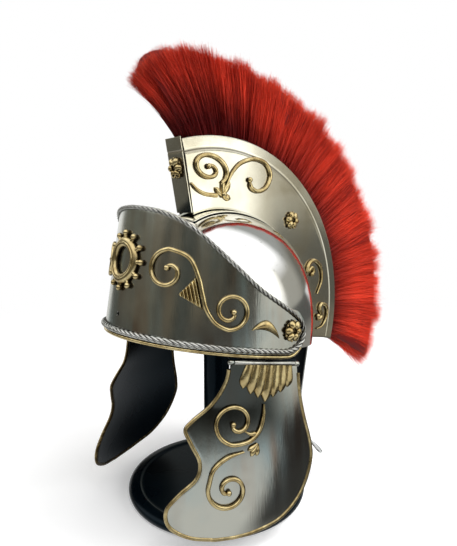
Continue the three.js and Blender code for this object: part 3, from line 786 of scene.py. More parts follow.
# %% Bowl
outer = dome_profile(0, BOWL["rim"], 30)
inner = dome_profile(BOWL["wall"], BOWL["rim"], 30)
bowl = spun("bowl_skin", [(0, outer[0][1])] + outer[1:] + inner[:0:-1] + [(0, inner[0][1])], 128)
edit(bowl)
bpy.ops.mesh.select_mode(type="VERT")
for side, reach in ((-1, BOWL["front"]), (1, BOWL["rear"])):
    mesh = bmesh.from_edit_mesh(bowl.data)
    for vertex in mesh.verts:
        vertex.select = side * vertex.co.y > 1e-6
    bmesh.update_edit_mesh(bowl.data)
    bpy.ops.transform.resize(value=(1, reach / BOWL["half_width"], 1), center_override=(0, 0, 0))
bpy.ops.mesh.select_all(action="SELECT")
bpy.ops.transform.translate(value=(0, BOWL["middle"] * MM, 0))
leave_edit()
bowl.data.materials.append(None)
bowl.data.materials.append(None)
INNER_WALL_LEVEL = 0.993
for face in bowl.data.polygons:
    inside = bowl_level(*(face.center / MM)) < INNER_WALL_LEVEL and face.normal.dot(face.center) < 0
    face.material_index = 1 if inside else 0
done(seat(smooth(bowl)), "polished_steel", HELMET, "bowl")
print("bowl: faces", len(bowl.data.polygons), "size in mm", [round(v * 1000) for v in bowl.dimensions])

# %% [markdown]
# ## The neck guard
# Behind the neck the steel falls straight, then flares into a flange that throws a blow outwards.
# Its profile is one smooth curve, carried round the back of the bowl.

# %% Neck guard
NAPE_STEPS = 80
nape_profile = rounded_route([(0, 6.7), (0, -30), (1, -63), (7, -84), (17, -98), (31, -110)], NAPE_STEPS + 1)


def on_nape(t, q, lift):
    i = min(int(q * NAPE_STEPS), NAPE_STEPS - 1)
    fall = nape_profile[i + 1] - nape_profile[i]
    out, z = nape_profile[i] + fall * (q * NAPE_STEPS - i)
    fall = fall / np.linalg.norm(fall)
    round_corner = 9 * max(0, (q - 0.9) / 0.1) ** 2
    half_degrees = 32 + 8 * smoothstep(q, 0.5, 0.9) - round_corner
    turn = math.radians(half_degrees * (2 * t - 1))
    normal = Vector((math.sin(turn) / BOWL["half_width"], math.cos(turn) / BOWL["rear"])).normalized()
    reach = out - lift * fall[1]
    return Vector((BOWL["half_width"] * math.sin(turn) + reach * normal.x,
                   BOWL["middle"] + BOWL["rear"] * math.cos(turn) + reach * normal.y,
                   z + lift * fall[0]))


neck_guard = sheet("neck_guard_skin", 60, 40, on_nape, BOWL["wall"])
done(seat(neck_guard), "polished_steel", HELMET, "nape_guard")
flange_edge = [on_nape(t, 0.995, -0.75) for t in np.linspace(0.01, 0.99, 41)]
roll = bar("neck_guard_roll", flange_edge, 1.3)
done(seat(roll), "bright_steel", HELMET)
print("neck guard: height in mm", round(1000 * neck_guard.dimensions.z))

# %% [markdown]
# ## The visor
# The visor is one strip of brushed steel, high in front and round at its ends. Its lower edge
# follows a straight line and a round tip; its upper edge is a smooth curve. Both are drawn flat and
# the strip between them is laid on the visor's wall. A small hole is drilled low in front.

# %% Visor
TIP_TURN = math.radians(84)
BROW = [(0, 113), (34, 110.7), (52, 106), (70, 97), (105, 73), (125, 59.5), (146, 49.5), (162.5, 43)]
brow = rounded_route(BROW, 300)


def visor_edge(upper, inset):
    radius = VISOR["tip_radius"] - inset

    def edge(t):
        way = (2 * t - 1) * (VISOR["tip_at"] + radius * TIP_TURN)
        side = -1 if way < 0 else 1
        turn = max(abs(way) - VISOR["tip_at"], 0) / radius
        s = min(abs(way), VISOR["tip_at"]) + radius * math.sin(turn)
        on_tip = radius * math.cos(turn)
        if not upper:
            return side * s, VISOR["tip_radius"] - on_tip
        if turn > 0:
            return side * s, VISOR["tip_radius"] + on_tip
        return side * s, float(np.interp(s, brow[:, 0], brow[:, 1])) - inset
    return edge


visor_place = between(visor_edge(False, 3.3), visor_edge(True, 0.5), on_visor)
visor = sheet("visor_band", 220, 20, visor_place, VISOR["wall"])
bpy.ops.mesh.primitive_cylinder_add(vertices=24, radius=2.1 * MM, depth=10 * MM,
                                    location=on_visor(0, 19.5, 0) * MM, rotation=(math.pi / 2, 0, 0))
drill = named("drill")
carve(visor, "BOOLEAN", object=drill, operation="DIFFERENCE", solver="EXACT")
bpy.data.objects.remove(drill)
done(seat(smooth(visor)), "brushed_steel", HELMET, "visor")
print("visor: faces", len(visor.data.polygons))

# %% [markdown]
# A gilt bead covers the lower edge and the round ends. It hides the raw edge and stiffens it.

# %% Visor trim
lower_edge = visor_edge(False, 1.5)
route = [on_visor(*lower_edge(t), -VISOR["wall"] / 2) for t in np.linspace(0, 1, 121)]
trim = mark_recess(bar("visor_bead", route, 1.65), visor_outward, clear=0.1)
done(seat(trim), "gilt_brass", HELMET, "visor_trim")
print("visor bead: faces", len(trim.data.polygons))

# %% [markdown]
# ## The roped bead
# A rope of three twisted strands runs inside the edge all the way round. On the real helmet it is
# struck with a punch. Here each strand is a helix about the rope's line, which gives true ridges
# that catch the light from any side. The rope is thicker along the bottom than along the top.

# %% Roped bead
ROPE_HALF = [(0.5, 6.2), (80, 6.2), (140, 6.2), (162.5, 6.6), (175, 12), (179.5, 22), (175, 32), (162, 39.6),
             (146, 46.8), (125, 56.9), (105, 70.4), (70, 94.4), (52, 103.2), (34, 107.9), (12, 110.1)]
STRANDS, TWISTS, STEPS = 3, 50, 14
THICK_ROPE, STRAND_RADIUS = 1.2, 1.32
flat_rope = rounded_route(ROPE_HALF + [(-s, z) for s, z in reversed(ROPE_HALF)], TWISTS * STEPS, closed=True)


def rope_size(z):
    """How far a strand winds out from the rope's line: 1.2 mm along the bottom, 0.88 at the top."""
    return THICK_ROPE - 0.32 * smoothstep(z, 9, 36)


def strand(number):
    places, count = [], len(flat_rope)
    for i, (s, z) in enumerate(flat_rope):
        along = np.array(flat_rope[(i + 1) % count]) - np.array(flat_rope[i - 1])
        along = along / np.linalg.norm(along)
        turn = 2 * math.pi * (i / STEPS + number / STRANDS)
        aside = rope_size(z) * math.cos(turn)
        lift = 1.25 * rope_size(z) + rope_size(z) * math.sin(turn)
        places.append(on_visor(s - along[1] * aside, z + along[0] * aside, lift))
    return places


def strand_share(share):
    return rope_size(flat_rope[int(share * (len(flat_rope) - 1))][1]) / THICK_ROPE


rope = joined("visor_roping", [
    bar(f"strand_{number}", strand(number), STRAND_RADIUS, closed=True, rings=1, sides=2, thick=strand_share)
    for number in range(STRANDS)])
print("rope: triangles", sum(len(f.vertices) - 2 for f in rope.data.polygons))

# %% [markdown]
# The furrows between the strands are as dark as any recess. They are found by distance: a point
# on a strand's back lies further from the rope's core line than a point in a furrow.

# %% Furrows of the rope
rope_line = KDTree(len(flat_rope))
for i, (s, z) in enumerate(flat_rope):
    rope_line.insert(on_visor(s, z, 1.25 * rope_size(z)) * MM, i)
rope_line.balance()


def furrow(point):
    """1 in the furrow between two strands and 0 on a strand's back."""
    _, i, distance = rope_line.find(point)
    return 1 - smoothstep(distance / MM / (2.1 * rope_size(flat_rope[i][1])), 0.66, 0.9)


mark_recess(rope, visor_outward, furrow, clear=0.3)
done(seat(rope), "bright_steel", HELMET, "visor_rope")
rope_length = np.linalg.norm(np.diff(flat_rope, axis=0), axis=1).sum()
print("rope: length of its line in mm", round(float(rope_length)))

# %% [markdown]
# ## The visor's ornaments
# The long scroll is a round wire with a volute at each end and a small bead at each eye. It is one
# route: the upper spiral from its eye outwards, a sway, and the lower spiral inwards.

# %% Scroll
WIRE = 1.85
upper = volute(48.5, 62, 16.8, 2.2, 85, 480)[::-1]
lower = volute(102.5, 36, 14.3, 2.4, 262, 720, 2)
sway = [(64.7, 74), (73.5, 60), (78.5, 46.5), (83, 35.5), (91, 26)]
scroll = wire_on("scroll_wire", upper + sway + lower, WIRE, on_visor, WIRE * 0.75, 110,
                 fade_ends(0.04, 0.04, 0.75))
eyes = [bead("eye_a", on_visor(*upper[0], 1.9), 2.3), bead("eye_b", on_visor(*lower[-1], 1.9), 2.3)]
cast_pair("visor_scrollwork", "visor_scroll", [scroll, *eyes], visor_outward)
print("scroll: points drawn", len(upper + sway + lower))


# %% [markdown]
# The fan leaf lies in the bend of the scroll, and the crescent between the scroll and the rear
# rosette. Both are thin cast shells that close down to the plate all round.

# %% Fan leaf and crescent
def fluted(apex, top, bottom, flutes, depth, wrap, base):
    """A triangle with ridges that fan out from its apex."""
    apex, top, bottom = Vector(apex), Vector(top), Vector(bottom)

    def place(t, q, lift):
        at = apex.lerp(top, t).lerp(apex.lerp(bottom, t), q)
        ridge = depth * abs(math.sin(math.pi * flutes * t))
        rim = smoothstep(min(t, 1 - t, q, 1 - q), 0, 0.08)
        return wrap(*at, 0.3 + (base + ridge) * rim + lift)
    return place


def on_crescent(t, q, lift):
    rise = (3.4 + 8.4 * q) * math.sin(math.pi * t) ** 0.9 + 0.12 * q
    dome = math.sin(math.pi * q) ** 0.5 * math.sin(math.pi * t) ** 0.5
    return on_visor(122.5 + 28 * t, 22.6 - 5.2 * t + rise, 0.25 + 2.8 * dome + lift)


fan_place = fluted((59.5, 44.2), (71.6, 60.6), (80.4, 34.6), 6, 1.3, on_visor, 1.3)
fan = sheet("fan_leaf", 72, 16, fan_place, 0.3, bevel=0, inside=False)
cast_pair("fan_leaf_cast", "fan_leaf", [fan], visor_outward, clear=0.9)
moon = sheet("moon", 32, 12, on_crescent, 0.3, bevel=0, inside=False)
cast_pair("crescent_cast", "crescent", [moon], visor_outward)
print("fan leaf: faces", len(fan.data.polygons), "crescent: faces", len(moon.data.polygons))

# %% [markdown]
# ## The sun ring
# A cast ring stands in the middle of the visor with twelve knobbed rays. It is built flat from a
# torus, twelve balls and twelve short necks, then laid on the curved wall in one go.

# %% Sun ring
SUN_Z, SUN_RAYS = 65.1, 12


def hoop(name, radius, thickness, height, rings):
    bpy.ops.mesh.primitive_torus_add(major_segments=96, minor_segments=rings, major_radius=radius * MM,
                                     minor_radius=thickness * MM, location=(0, 0, height * MM))
    return named(name)


flat_hoop = hoop("sun_hoop", 15.6, 4.2, 2.1, 16)
flat_hoop.scale.z = 0.62
parts = [flat_hoop, hoop("sun_lip", 15.2, 0.9, 4.6, 10)]
for ray in range(SUN_RAYS):
    turn = 2 * math.pi * ray / SUN_RAYS
    out = Vector((math.cos(turn), math.sin(turn), 0))
    parts.append(ball(f"sun_knob_{ray}", 2.7, out * 23.4 + Vector((0, 0, 1.9))))
    bpy.ops.mesh.primitive_cone_add(vertices=12, radius1=2.3 * MM, radius2=1.7 * MM, depth=6 * MM,
                                    location=(out * 20.2 + Vector((0, 0, 1.6))) * MM,
                                    rotation=(0, math.pi / 2, turn))
    parts.append(named(f"sun_neck_{ray}"))
sun = fix_place(joined("sun_ring_cast", parts))
for vertex in sun.data.vertices:
    x, y, lift = vertex.co / MM
    vertex.co = on_visor(x, SUN_Z + y, max(lift, 0)) * MM
mark_recess(smooth(sun, 60), visor_outward, clear=0.75)
done(seat(sun), "gilt_brass", HELMET, "sun_ring")
print("sun ring: parts", len(parts), "faces", len(sun.data.polygons))

# %% [markdown]
# ## The rosettes
# One flower head is modelled and copied to five places: two rivets on the visor, two on the crest's
# sides and one on its front. Six ball-like petals lean out round a small heart, with black between.

# %% Rosettes
def polar(radius, turn, height):
    return Vector((radius * math.cos(turn), radius * math.sin(turn), height))


def low_places(point):
    """The heart, and the floor between the petals, never see the polishing cloth."""
    heart = 1 - smoothstep(math.hypot(point.x, point.y) / MM, 1.8, 3.0)
    return max(0.9 * heart, 0.8 * (1 - smoothstep(point.z / MM, 1.1, 2.9)))


def flower():
    bpy.ops.mesh.primitive_cylinder_add(vertices=36, radius=8.8 * MM, depth=1.4 * MM,
                                        location=(0, 0, 0.7 * MM))
    parts = [named("flower_back")]
    round_edges(parts[0], 0.4, 2)
    for petal in range(6):
        turn = math.radians(60 * petal)
        leaf = ball(f"petal_{petal}", 1, polar(6.0, turn, 2.5), 18, 12)
        leaf.scale = (4.0, 3.1, 2.5)
        leaf.rotation_euler = (0, math.radians(22), turn)
        dot = ball(f"dot_{petal}", 1.15, polar(8.6, turn + math.radians(30), 1.3), 10, 8)
        parts += [leaf, dot]
    parts.append(ball("flower_heart", 1.5, (0, 0, 2.2), 14, 8))
    whole = smooth(fix_place(joined("flower", parts)), 60)
    return mark_recess(whole, Vector((0, 0, 1)), low_places, clear=0.45)


model_flower = flower()


def flower_at(name, at, outward):
    turn = outward.to_track_quat("Z", "Y").to_matrix().to_4x4()
    return place_at(copied(model_flower, name), Matrix.Translation(at * MM) @ turn)


visor_out = on_visor(164, 24.5, 1) - on_visor(164, 24.5, 0)
for stem, node, at, outward in (("visor_flower", "visor_rosette", on_visor(164, 24.5, 0.3), visor_out),
                                ("crest_flower", "side_rosette", on_crest(74.5, 131, 0.2), CREST_OUTWARD)):
    pair_done(seat(flower_at(f"{stem}_left", at, outward)), "gilt_brass", stem, node)
print("rosette: faces", len(model_flower.data.polygons))

# %% [markdown]
# ## The crest box
# Two curved steel sides, a narrow front and a foot flange make the box that holds the hair. Each
# side has a plain band along its rim, set off by an engraved line, so its place on the surface
# also sets a little relief: the band stands proud and the line is cut in.

# %% Crest sides
REAR, FRONT = math.degrees(math.asin((0.6 - 17) / 178)), 116.2
INNER_RADIUS, BAND_EDGE, LINE = 163, 167.5, 166.2
BELOW_BAND = 0.8
rows = [i / 20 * BELOW_BAND for i in range(21)]
rows += [0.815, 0.83, 0.845, 0.86, 0.875, 0.89, 0.9, 0.92, 0.94, 0.96, 0.975, 0.99, 1.0]


def crest_side_point(t, q, lift):
    """From the bowl up to the inner radius, then through the band to the rim."""
    q = rows[round(q * (len(rows) - 1))]
    foot = on_bowl(1.4 + (114.4 - 1.4) * t, CREST["half_width"], 2.3).yz
    angle = REAR + (FRONT - REAR) * t
    inner, rim = Vector(crest_arc(angle, INNER_RADIUS)), Vector(crest_arc(angle, CREST["radius"]))
    if q < BELOW_BAND:
        y, z = foot.lerp(inner, q / BELOW_BAND)
    else:
        y, z = inner.lerp(rim, (q - BELOW_BAND) / (1 - BELOW_BAND))
    radius = crest_radius(y, z)
    band = 0.35 * smoothstep(radius, BAND_EDGE - 0.5, BAND_EDGE + 0.6)
    line = 0.5 * max(0, 1 - abs(radius - LINE) / 1.3)
    return on_crest(y, z, lift + band - line)


crest_side = sheet("crest_side_skin_left", 150, len(rows) - 1, crest_side_point, CREST["wall"])
engraved = []
for vertex in crest_side.data.vertices:
    from_line = abs(crest_radius(vertex.co.y / MM, vertex.co.z / MM) - LINE)
    on_outer_face = vertex.co.x > 10.5 * MM
    engraved.append(max(0, 1 - from_line) if on_outer_face else 0)
write_values(crest_side.data, "recess", engraved)
pair_done(seat(crest_side), "crest_steel", "crest_side_skin", "crest_side")
print("crest side: faces", len(crest_side.data.polygons))

# %% [markdown]
# The front plate slopes forward, with an engraved line near its top like the one on the sides. The
# foot flange follows the bowl from brow to neck, and its two edges are lipped.

# %% Crest front and foot flange
front_foot, front_top = Vector((-58.6, 114.6)), Vector((-82.4, 178.4))
front_slope = (front_top - front_foot).normalized()
front_out = Vector((0, -front_slope.y, front_slope.x))


def crest_front_point(t, q, lift):
    at = front_foot.lerp(front_top, 0.01 + 0.99 * q)
    from_line = abs((front_top - front_foot).length * q - 55.5)
    engraved = 0.5 * max(0, 1 - from_line / 1.2)
    y, z = at + front_out.yz * (0.6 + lift - engraved)
    return Vector(((t - 0.5) * 2 * (CREST["half_width"] + 0.3), y, z))


def crest_foot_point(t, q, lift):
    x = (q - 0.5) * 42
    lip = 0.7 * smoothstep(abs(x), 18.2, 19.4)
    return on_bowl(118 - 116 * t, x, 1.3 + lip + lift)


crest_face = sheet("crest_front_skin", 12, 70, crest_front_point, CREST["wall"])
write_values(crest_face.data, "recess", [
    max(0, 1 - abs(vertex.co.z / MM - 166.6) / 1.2) for vertex in crest_face.data.vertices])
done(seat(crest_face), "crest_steel", HELMET, "crest_front")
flange = sheet("crest_foot_skin", 110, 28, crest_foot_point, 1.0)
done(seat(flange), "crest_steel", HELMET, "crest_foot")
print("crest front: length in mm", round((front_top - front_foot).length, 1))

# %% [markdown]
# ## The crest's ornaments
# On each side is a close spiral with a curled tendril beside it, a stem below, and a calyx of three
# leaves between them. Two hooks with rolled ends climb the rear. The same wire serves for all.

# %% Crest scrolls
SPIRAL = volute(-46.5, 158.5, 14.8, 2, -42, 480, 1.2, 1.5)
TENDRIL = [(-24, 146), (-20.5, 157), (-15.5, 166), (-7.5, 174), (7.7, 181), (23.5, 180.5), (32.5, 171),
           (29.5, 158), (19, 151), (8.5, 152.5), (5, 159.5)]
UPPER_HOOK = [(121, 76), (124, 79.5), (119.5, 83.5), (112.8, 78), (113.5, 86.5), (122, 92), (135, 86.5),
              (141, 71), (136, 54)]
LOWER_HOOK = [(143, 28), (145.5, 24), (149.5, 29), (144.5, 36.5), (147, 42.5), (157, 40), (160, 28.5),
              (154, 16.5), (144, 12.5)]
STEM = [(-65, 141), (-57, 136.8), (-47, 134.9), (-34, 136.2)]
hook_swell = fade_ends(0.05, 0.6, 0.4)
for stem, node, route, eye, eye_radius, count, swell in (
        ("crest_spiral_cast", "crest_spiral", SPIRAL, -1, 2.7, 70, fade_ends(0.1, 0.3, 0.72)),
        ("crest_tendril_cast", "crest_tendril", TENDRIL, -1, 2.7, 46, fade_ends(0.35, 0.05, 0.5)),
        ("crest_stem_cast", "crest_stem", STEM, -1, 1.2, 14, lambda share: 0.5 + 0.5 * share),
        ("rear_hook_upper_cast", "rear_scroll_upper", UPPER_HOOK, 0, 2.7, 40, hook_swell),
        ("rear_hook_lower_cast", "rear_scroll_lower", LOWER_HOOK, 0, 2.7, 40, hook_swell)):
    wire = wire_on("crest_wire", route, WIRE * 1.22, on_crest, WIRE * 0.7, count, swell)
    cast_pair(stem, node, [wire, bead("crest_eye", on_crest(*route[eye], 1.7), eye_radius)], CREST_OUTWARD)
    print(stem, "points:", count)

# %% [markdown]
# The calyx between the crest scrolls, like the palmette and the leaf on the cheek guard, is made of
# petals. A petal is a domed shell that widens from its root and closes to a point at its tip.

# %% Petals and the crest's calyx
def petal(name, root, tip, width, wrap, height=2.6, root_share=0.45):
    root, tip = Vector(root), Vector(tip)
    aside = (tip - root).orthogonal().normalized()

    def place(t, q, lift):
        s = 2 * q - 1
        share = root_share + (1 - root_share) * smoothstep(t, 0, 0.6)
        share *= max(0.02, 1 - max(0, (t - 0.62) / 0.38) ** 2.2)
        a, b = root.lerp(tip, t) + aside * s * width * share
        dome = math.sqrt(max(0, 1 - s * s))
        return wrap(a, b, 0.2 + height * dome * share ** 0.5 + lift)
    return sheet(name, 24, 12, place, 0.3, bevel=0, inside=False)


def petals(wrap, *cut):
    return [petal(f"petal_{i}", root, tip, width, wrap) for i, (root, tip, width) in enumerate(cut)]


calyx = petals(on_crest, ((-27, 136), (-19.5, 152), 3.3), ((-26, 137), (-37.5, 143), 3.0),
               ((-27, 138), (-28.5, 152.5), 3.1), ((-29, 138.5), (-16, 136), 3.5))
calyx.append(bead("calyx_knot", on_crest(-26, 138.5, 2.1), 3.0))
cast_pair("crest_calyx_cast", "crest_calyx", calyx, CREST_OUTWARD)

front_middle = Vector((0, *front_foot.lerp(front_top, 0.61)))
head = flower_at("front_flower", front_middle + front_out * 0.8, front_out)
done(seat(head), "gilt_brass", HELMET, "front_rosette")
bpy.data.objects.remove(model_flower)
print("calyx petals: 4, front flower at height", round(front_middle.z), "mm")

# %% [markdown]
# ## The cheek guards
# Each guard is a brushed plate, bent round the face, with a gilt bead round its edge. It is made
# once for the left, in the place where it hangs, and mirrored to the right. Each side rides on a
# body of its own, because it swings on its hinge.

# %% Cheek plate
EDGE_STEPS = 400
FACE_EDGE = [(0, 0), (0, 17), (-6, 34), (-19, 48), (-24.5, 57), (-19, 69), (-12, 82), (-13, 94),
             (-24, 107), (-32, 121), (-28, 135), (-12, 143.5), (9, 145.6)]
NECK_EDGE = [(72, 0), (76, 22), (83, 43), (94, 68), (97, 86), (88, 112), (68, 131.5), (42, 141), (24, 144.4)]
front_edge, rear_edge = (rounded_route(edge, EDGE_STEPS + 1) for edge in (FACE_EDGE, NECK_EDGE))


def inset_from(edge, share, inset):
    i = min(max(int(share * EDGE_STEPS), 1), EDGE_STEPS - 1)
    at = edge[i] + (edge[i + 1] - edge[i]) * (share * EDGE_STEPS - i)
    along = edge[i + 1] - edge[i - 1]
    along = along / np.linalg.norm(along)
    return at[0] - along[1] * inset, at[1] + along[0] * inset


def plate_edge(edge, inset):
    top = 0.009
    return lambda t: inset_from(edge, top + (1 - top) * t, inset)


plate_place = between(plate_edge(front_edge, -2.6), plate_edge(rear_edge, 2.6), on_cheek)
plate = sheet("cheek_skin_left", 120, 40, plate_place, CHEEK["wall"])
from_hinge = HANGING.inverted()
# Painted shadow of the visor: the plate's upper front is marked so that its steel is painted dark there.
visor_shadow = []
for vertex in plate.data.vertices:
    _, u, down = from_hinge @ (vertex.co / MM)
    visor_shadow.append(0.93 * (1 - smoothstep(-down, 42, 82)) * (1 - smoothstep(u + 0.3 * down, 30, 62)))
write_values(plate.data, "recess", visor_shadow)
pair_done(seat(plate), "brushed_steel", "cheek_skin", "cheek_plate", CHEEKS)
print("cheek plate: faces", len(plate.data.polygons))

# %% [markdown]
# The bead runs down the face edge, round the chin and up the neck edge in one length of wire.

# %% Cheek bead
round_edge = [inset_from(front_edge, share, -1.6) for share in np.linspace(0.03, 1, 60)]
round_edge += [inset_from(rear_edge, share, 1.6) for share in np.linspace(1, 0.04, 54)]
edge_route = rounded_route(round_edge, 170)
edging = bar("cheek_wire", [on_cheek(u, v, -0.6) for u, v in edge_route], 1.7)
cast_pair("cheek_bead", "cheek_trim", [edging], CHEEK_OUTWARD, CHEEKS, clear=0.1, least=0.3)
print("cheek bead: faces", len(edging.data.polygons))

# %% [markdown]
# The palmette under the hinge is seven rounded petals side by side, the middle one the tallest. Two
# scrolls fill the plate below it, the upper one with a tuft, and the small leaf has three petals.

# %% Palmette, scrolls and leaf
tips = [(17, 21.5), (24.5, 26), (31.5, 29), (38.5, 32.5), (46, 28.5), (53.5, 24.5), (60.5, 20)]
palm = [petal(f"palm_{i}", (20.5 + 40 * i / 6, 1.5), tip, 5.4, on_cheek, 3.6 - 0.35 * abs(i - 3), 0.72)
        for i, tip in enumerate(tips)]
cast_pair("palmette_cast", "palmette", palm, CHEEK_OUTWARD, CHEEKS, clear=0.45)

for level, lead, spiral in (
        ("upper", [(37.8, 34), (38, 45), (35, 56), (27, 64)], volute(14.5, 50, 17, 2.4, 88, 520, 1.5)),
        ("lower", [(23, 72.5), (10, 77), (0, 86.5)], volute(13.5, 103, 16.6, 2.2, 195, -270, 1.25))):
    swell = fade_ends(0.12, 0.04, 0.45)
    parts = [wire_on("cheek_wire", lead + spiral, WIRE, on_cheek, WIRE * 0.75, 90, swell)]
    if level == "upper":
        tuft = [(33.5, 57), (28, 58.5), (22, 56)]
        parts.append(wire_on("cheek_tuft", tuft, 2.0, on_cheek, 1.0, 12, fade_ends(0.2, 0.8, 0.2)))
    parts.append(bead("cheek_eye", on_cheek(*spiral[-1], 1.9), 2.3))
    cast_pair(f"cheek_scroll_{level}_cast", f"cheek_scroll_{level}", parts, CHEEK_OUTWARD, CHEEKS)

leaf = petals(on_cheek, ((34.5, 66), (29.5, 76.5), 2.4), ((34, 66), (26.5, 72), 2.2),
              ((35, 66.5), (34.5, 76), 2.2))
cast_pair("cheek_leaf_cast", "cheek_leaf", leaf, CHEEK_OUTWARD, CHEEKS)
print("palmette petals:", len(palm), "leaf petals:", len(leaf))

# %% [markdown]
# ## The hinges
# The guard's top edge is rolled into a sleeve round a steel pin. The bowl's side of the hinge holds
# the pin at both ends in a rounded knuckle, and a strap joins it to the rim. The strap has the
# inside's black paint, which is also a painted shade for the shadow under the visor.

# %% Hinge sleeve and knuckles
HINGE_PLACE = Matrix.Translation(HINGE_AXIS.translation * MM) @ HINGE_AXIS.to_3x3().to_4x4()
KNUCKLE, SLEEVE_GAP, HINGE_RADIUS = 5, 0.3, 2.2


def rod(name, low, high, rounding):
    """A round rod along the hinge line, from low to high."""
    bpy.ops.mesh.primitive_cylinder_add(vertices=32, radius=HINGE_RADIUS * MM, depth=(high - low) * MM,
                                        location=(0, (low + high) / 2 * MM, 0), rotation=(math.pi / 2, 0, 0))
    piece = fix_place(named(name))
    round_edges(piece, rounding, 4, 40)
    return smooth(piece, 50)


sleeve = rod("hinge_sleeve_left", KNUCKLE + SLEEVE_GAP, hinge_length - KNUCKLE - SLEEVE_GAP, 0.4)
pair_done(seat(place_at(sleeve, HINGE_PLACE)), "bright_steel", "hinge_sleeve", "cheek_hinge", CHEEKS)
knuckles = joined("hinge_knuckles_left", [
    rod("knuckle_a", 0.2, KNUCKLE, 1.2), rod("knuckle_b", hinge_length - KNUCKLE, hinge_length - 0.2, 1.2)])
pair_done(seat(place_at(knuckles, HINGE_PLACE)), "brushed_steel", "hinge_knuckles", "hinge_pin")


def on_hinge_side(t, q, lift):
    """Down the bowl's inner face, then out to the hinge line."""
    u, z = 1 + (hinge_length - 2) * t, 14.5 - 16.5 * q
    x, y, _ = HINGE_AXIS @ Vector((0, u, 0))
    rim_x = BOWL["half_width"] * math.sqrt(1 - ((y - BOWL["middle"]) / bowl_half_length(y)) ** 2)
    inner_x = rim_x - BOWL["wall"] - 1.6
    return Vector((x + (inner_x - x) * smoothstep(z, -2.2, 1) + lift, y, z))


strap = sheet("hinge_strap_left", 40, 12, on_hinge_side, 0.9, bevel=0.2, inside=False)
# The strap's black is the inside's paint and also painted shade for the shadow under the visor.
pair_done(seat(strap), "black_lacquer", "hinge_strap", "hinge_leaf")
for side in ("left", "right"):
    painted(f"visor_stud_{side}", "brushed_steel")
print("hinge strap length in mm:", round(hinge_length - 2))

# %% [markdown]
# ## The plume
# The crest is filled with a stiff brush of dyed horsehair that fans out over the rim and leans
# forward at the front. One hair is a thin ribbon of a few faces, tapered to its tip. Tens of
# thousands of them, each with its own root, length, bend and tone, give the ragged, silky mass.
# Operators can't place so many, so a short calculation writes their points at once. Horsehair
# stands in locks: hairs that are neighbours lean together, cling towards one tip, and share a
# length, a curl and a tone. That gives the soft, lumpy outline and the streaks of real hair.

# %% Where a hair stands and where it points
ROOTS = dict(front=114.4, rear=-4.4, half=9.6, depth=6)
ROOT_RADIUS = CREST["radius"] - ROOTS["depth"]
SPREAD_AT_TIP, FORWARD_LEAN, REAR_DROOP, HAIR = 8.0, 27, 16, 66


def steps(value, low, high):
    """The soft step again, for a whole array of values."""
    share = np.clip((value - low) / (high - low), 0, 1)
    return share * share * (3 - 2 * share)


def hair_lean(angle):
    """Straight out, but leaning forward at the front and drooping at the rear."""
    return angle + FORWARD_LEAN * steps(angle, 66, 116) - REAR_DROOP * (1 - steps(angle, -6, 16))


def hair_length(angle):
    """Trimmed at the very front, longer at the crown and longest towards the rear."""
    from_front = 116 - angle
    front = 16 * steps(from_front, 0, 8) - 8 * steps(from_front, 6, 26)
    rear = 32 * (1 - steps(angle, -10, 72)) + 4 * (1 - steps(angle, -4, 8))
    crown = 5 * steps(angle, -2, 24) * (1 - steps(angle, 62, 96))
    return HAIR + front + rear + crown


def root_of(angle):
    turn = np.radians(angle)
    return CREST["y"] + ROOT_RADIUS * np.cos(turn), CREST["z"] + ROOT_RADIUS * np.sin(turn)


def tip_of(angle, lean, length):
    y, z = root_of(angle)
    return y + length * np.cos(lean), z + length * np.sin(lean)


print("hair in mm: front", round(hair_length(ROOTS["front"])), "rear", round(hair_length(ROOTS["rear"])))

# %% [markdown]
# A lock is one tip, one curl and one tone that its hairs share. The outline of a real plume also
# swells and dips slowly along its length, so length, lean, dye and breadth drift along the crest.

# %% The locks
def drifting(random, waves=7):
    """Smooth random drift along the crest: a sum of slow waves, in a range of about -1 to 1."""
    size = random.uniform(0.6, 1.0, waves)
    speed = random.uniform(0.12, 0.75, waves)
    start = random.uniform(0, 2 * math.pi, waves)

    def drift(angle):
        return sum(size[k] * np.sin(speed[k] * angle + start[k]) for k in range(waves)) / (0.55 * waves)
    return drift


LOCKS, SWAY = 460, 2.4
chance = np.random.default_rng(11)
lump, sway, dye = (drifting(chance) for _ in range(3))
breadth = drifting(np.random.default_rng(5))


def spread_of(angle):
    """How far from the middle plane a hair at the edge of the row ends."""
    return ROOTS["half"] + SPREAD_AT_TIP * (1 + 0.55 * breadth(angle))


def rounded_ends(angle, x):
    from_rear, from_front = angle - ROOTS["rear"], ROOTS["front"] - angle
    return angle + x * x * (4 * np.exp(-from_rear / 7) - 3 * np.exp(-from_front / 7))


lock_angle = chance.uniform(ROOTS["rear"], ROOTS["front"], LOCKS)
lock_x = chance.uniform(-1, 1, LOCKS)
lock_lean = np.radians(hair_lean(lock_angle) + SWAY * sway(lock_angle) + chance.normal(0, 1.8, LOCKS))
lock_share = 1 + 0.062 * lump(lock_angle) + chance.normal(0, 0.02, LOCKS) - 0.06 * lock_x ** 2
lock_tip_y, lock_tip_z = tip_of(lock_angle, lock_lean, ROOTS["depth"] + hair_length(lock_angle) * lock_share)
lock_tip_x = lock_x * spread_of(lock_angle) + chance.normal(0, 1.2, LOCKS)
lock_curl = chance.normal(0, 4.0, LOCKS)
lock_wave = chance.uniform(0, 2 * math.pi, LOCKS)
# A lock's tone is partly its own dye, random and drifting, and partly painted light: locks at the rear are
# painted lighter and those at the front darker.
lock_tone_and_light = (chance.normal(0, 0.09, LOCKS) + 0.10 * dye(lock_angle)
             + 0.20 * (1 - steps(lock_angle, 5, 60)) - 0.05 * steps(lock_angle, 80, 112))
print("locks:", LOCKS, "longest in mm:", round(float(hair_length(lock_angle).max())))

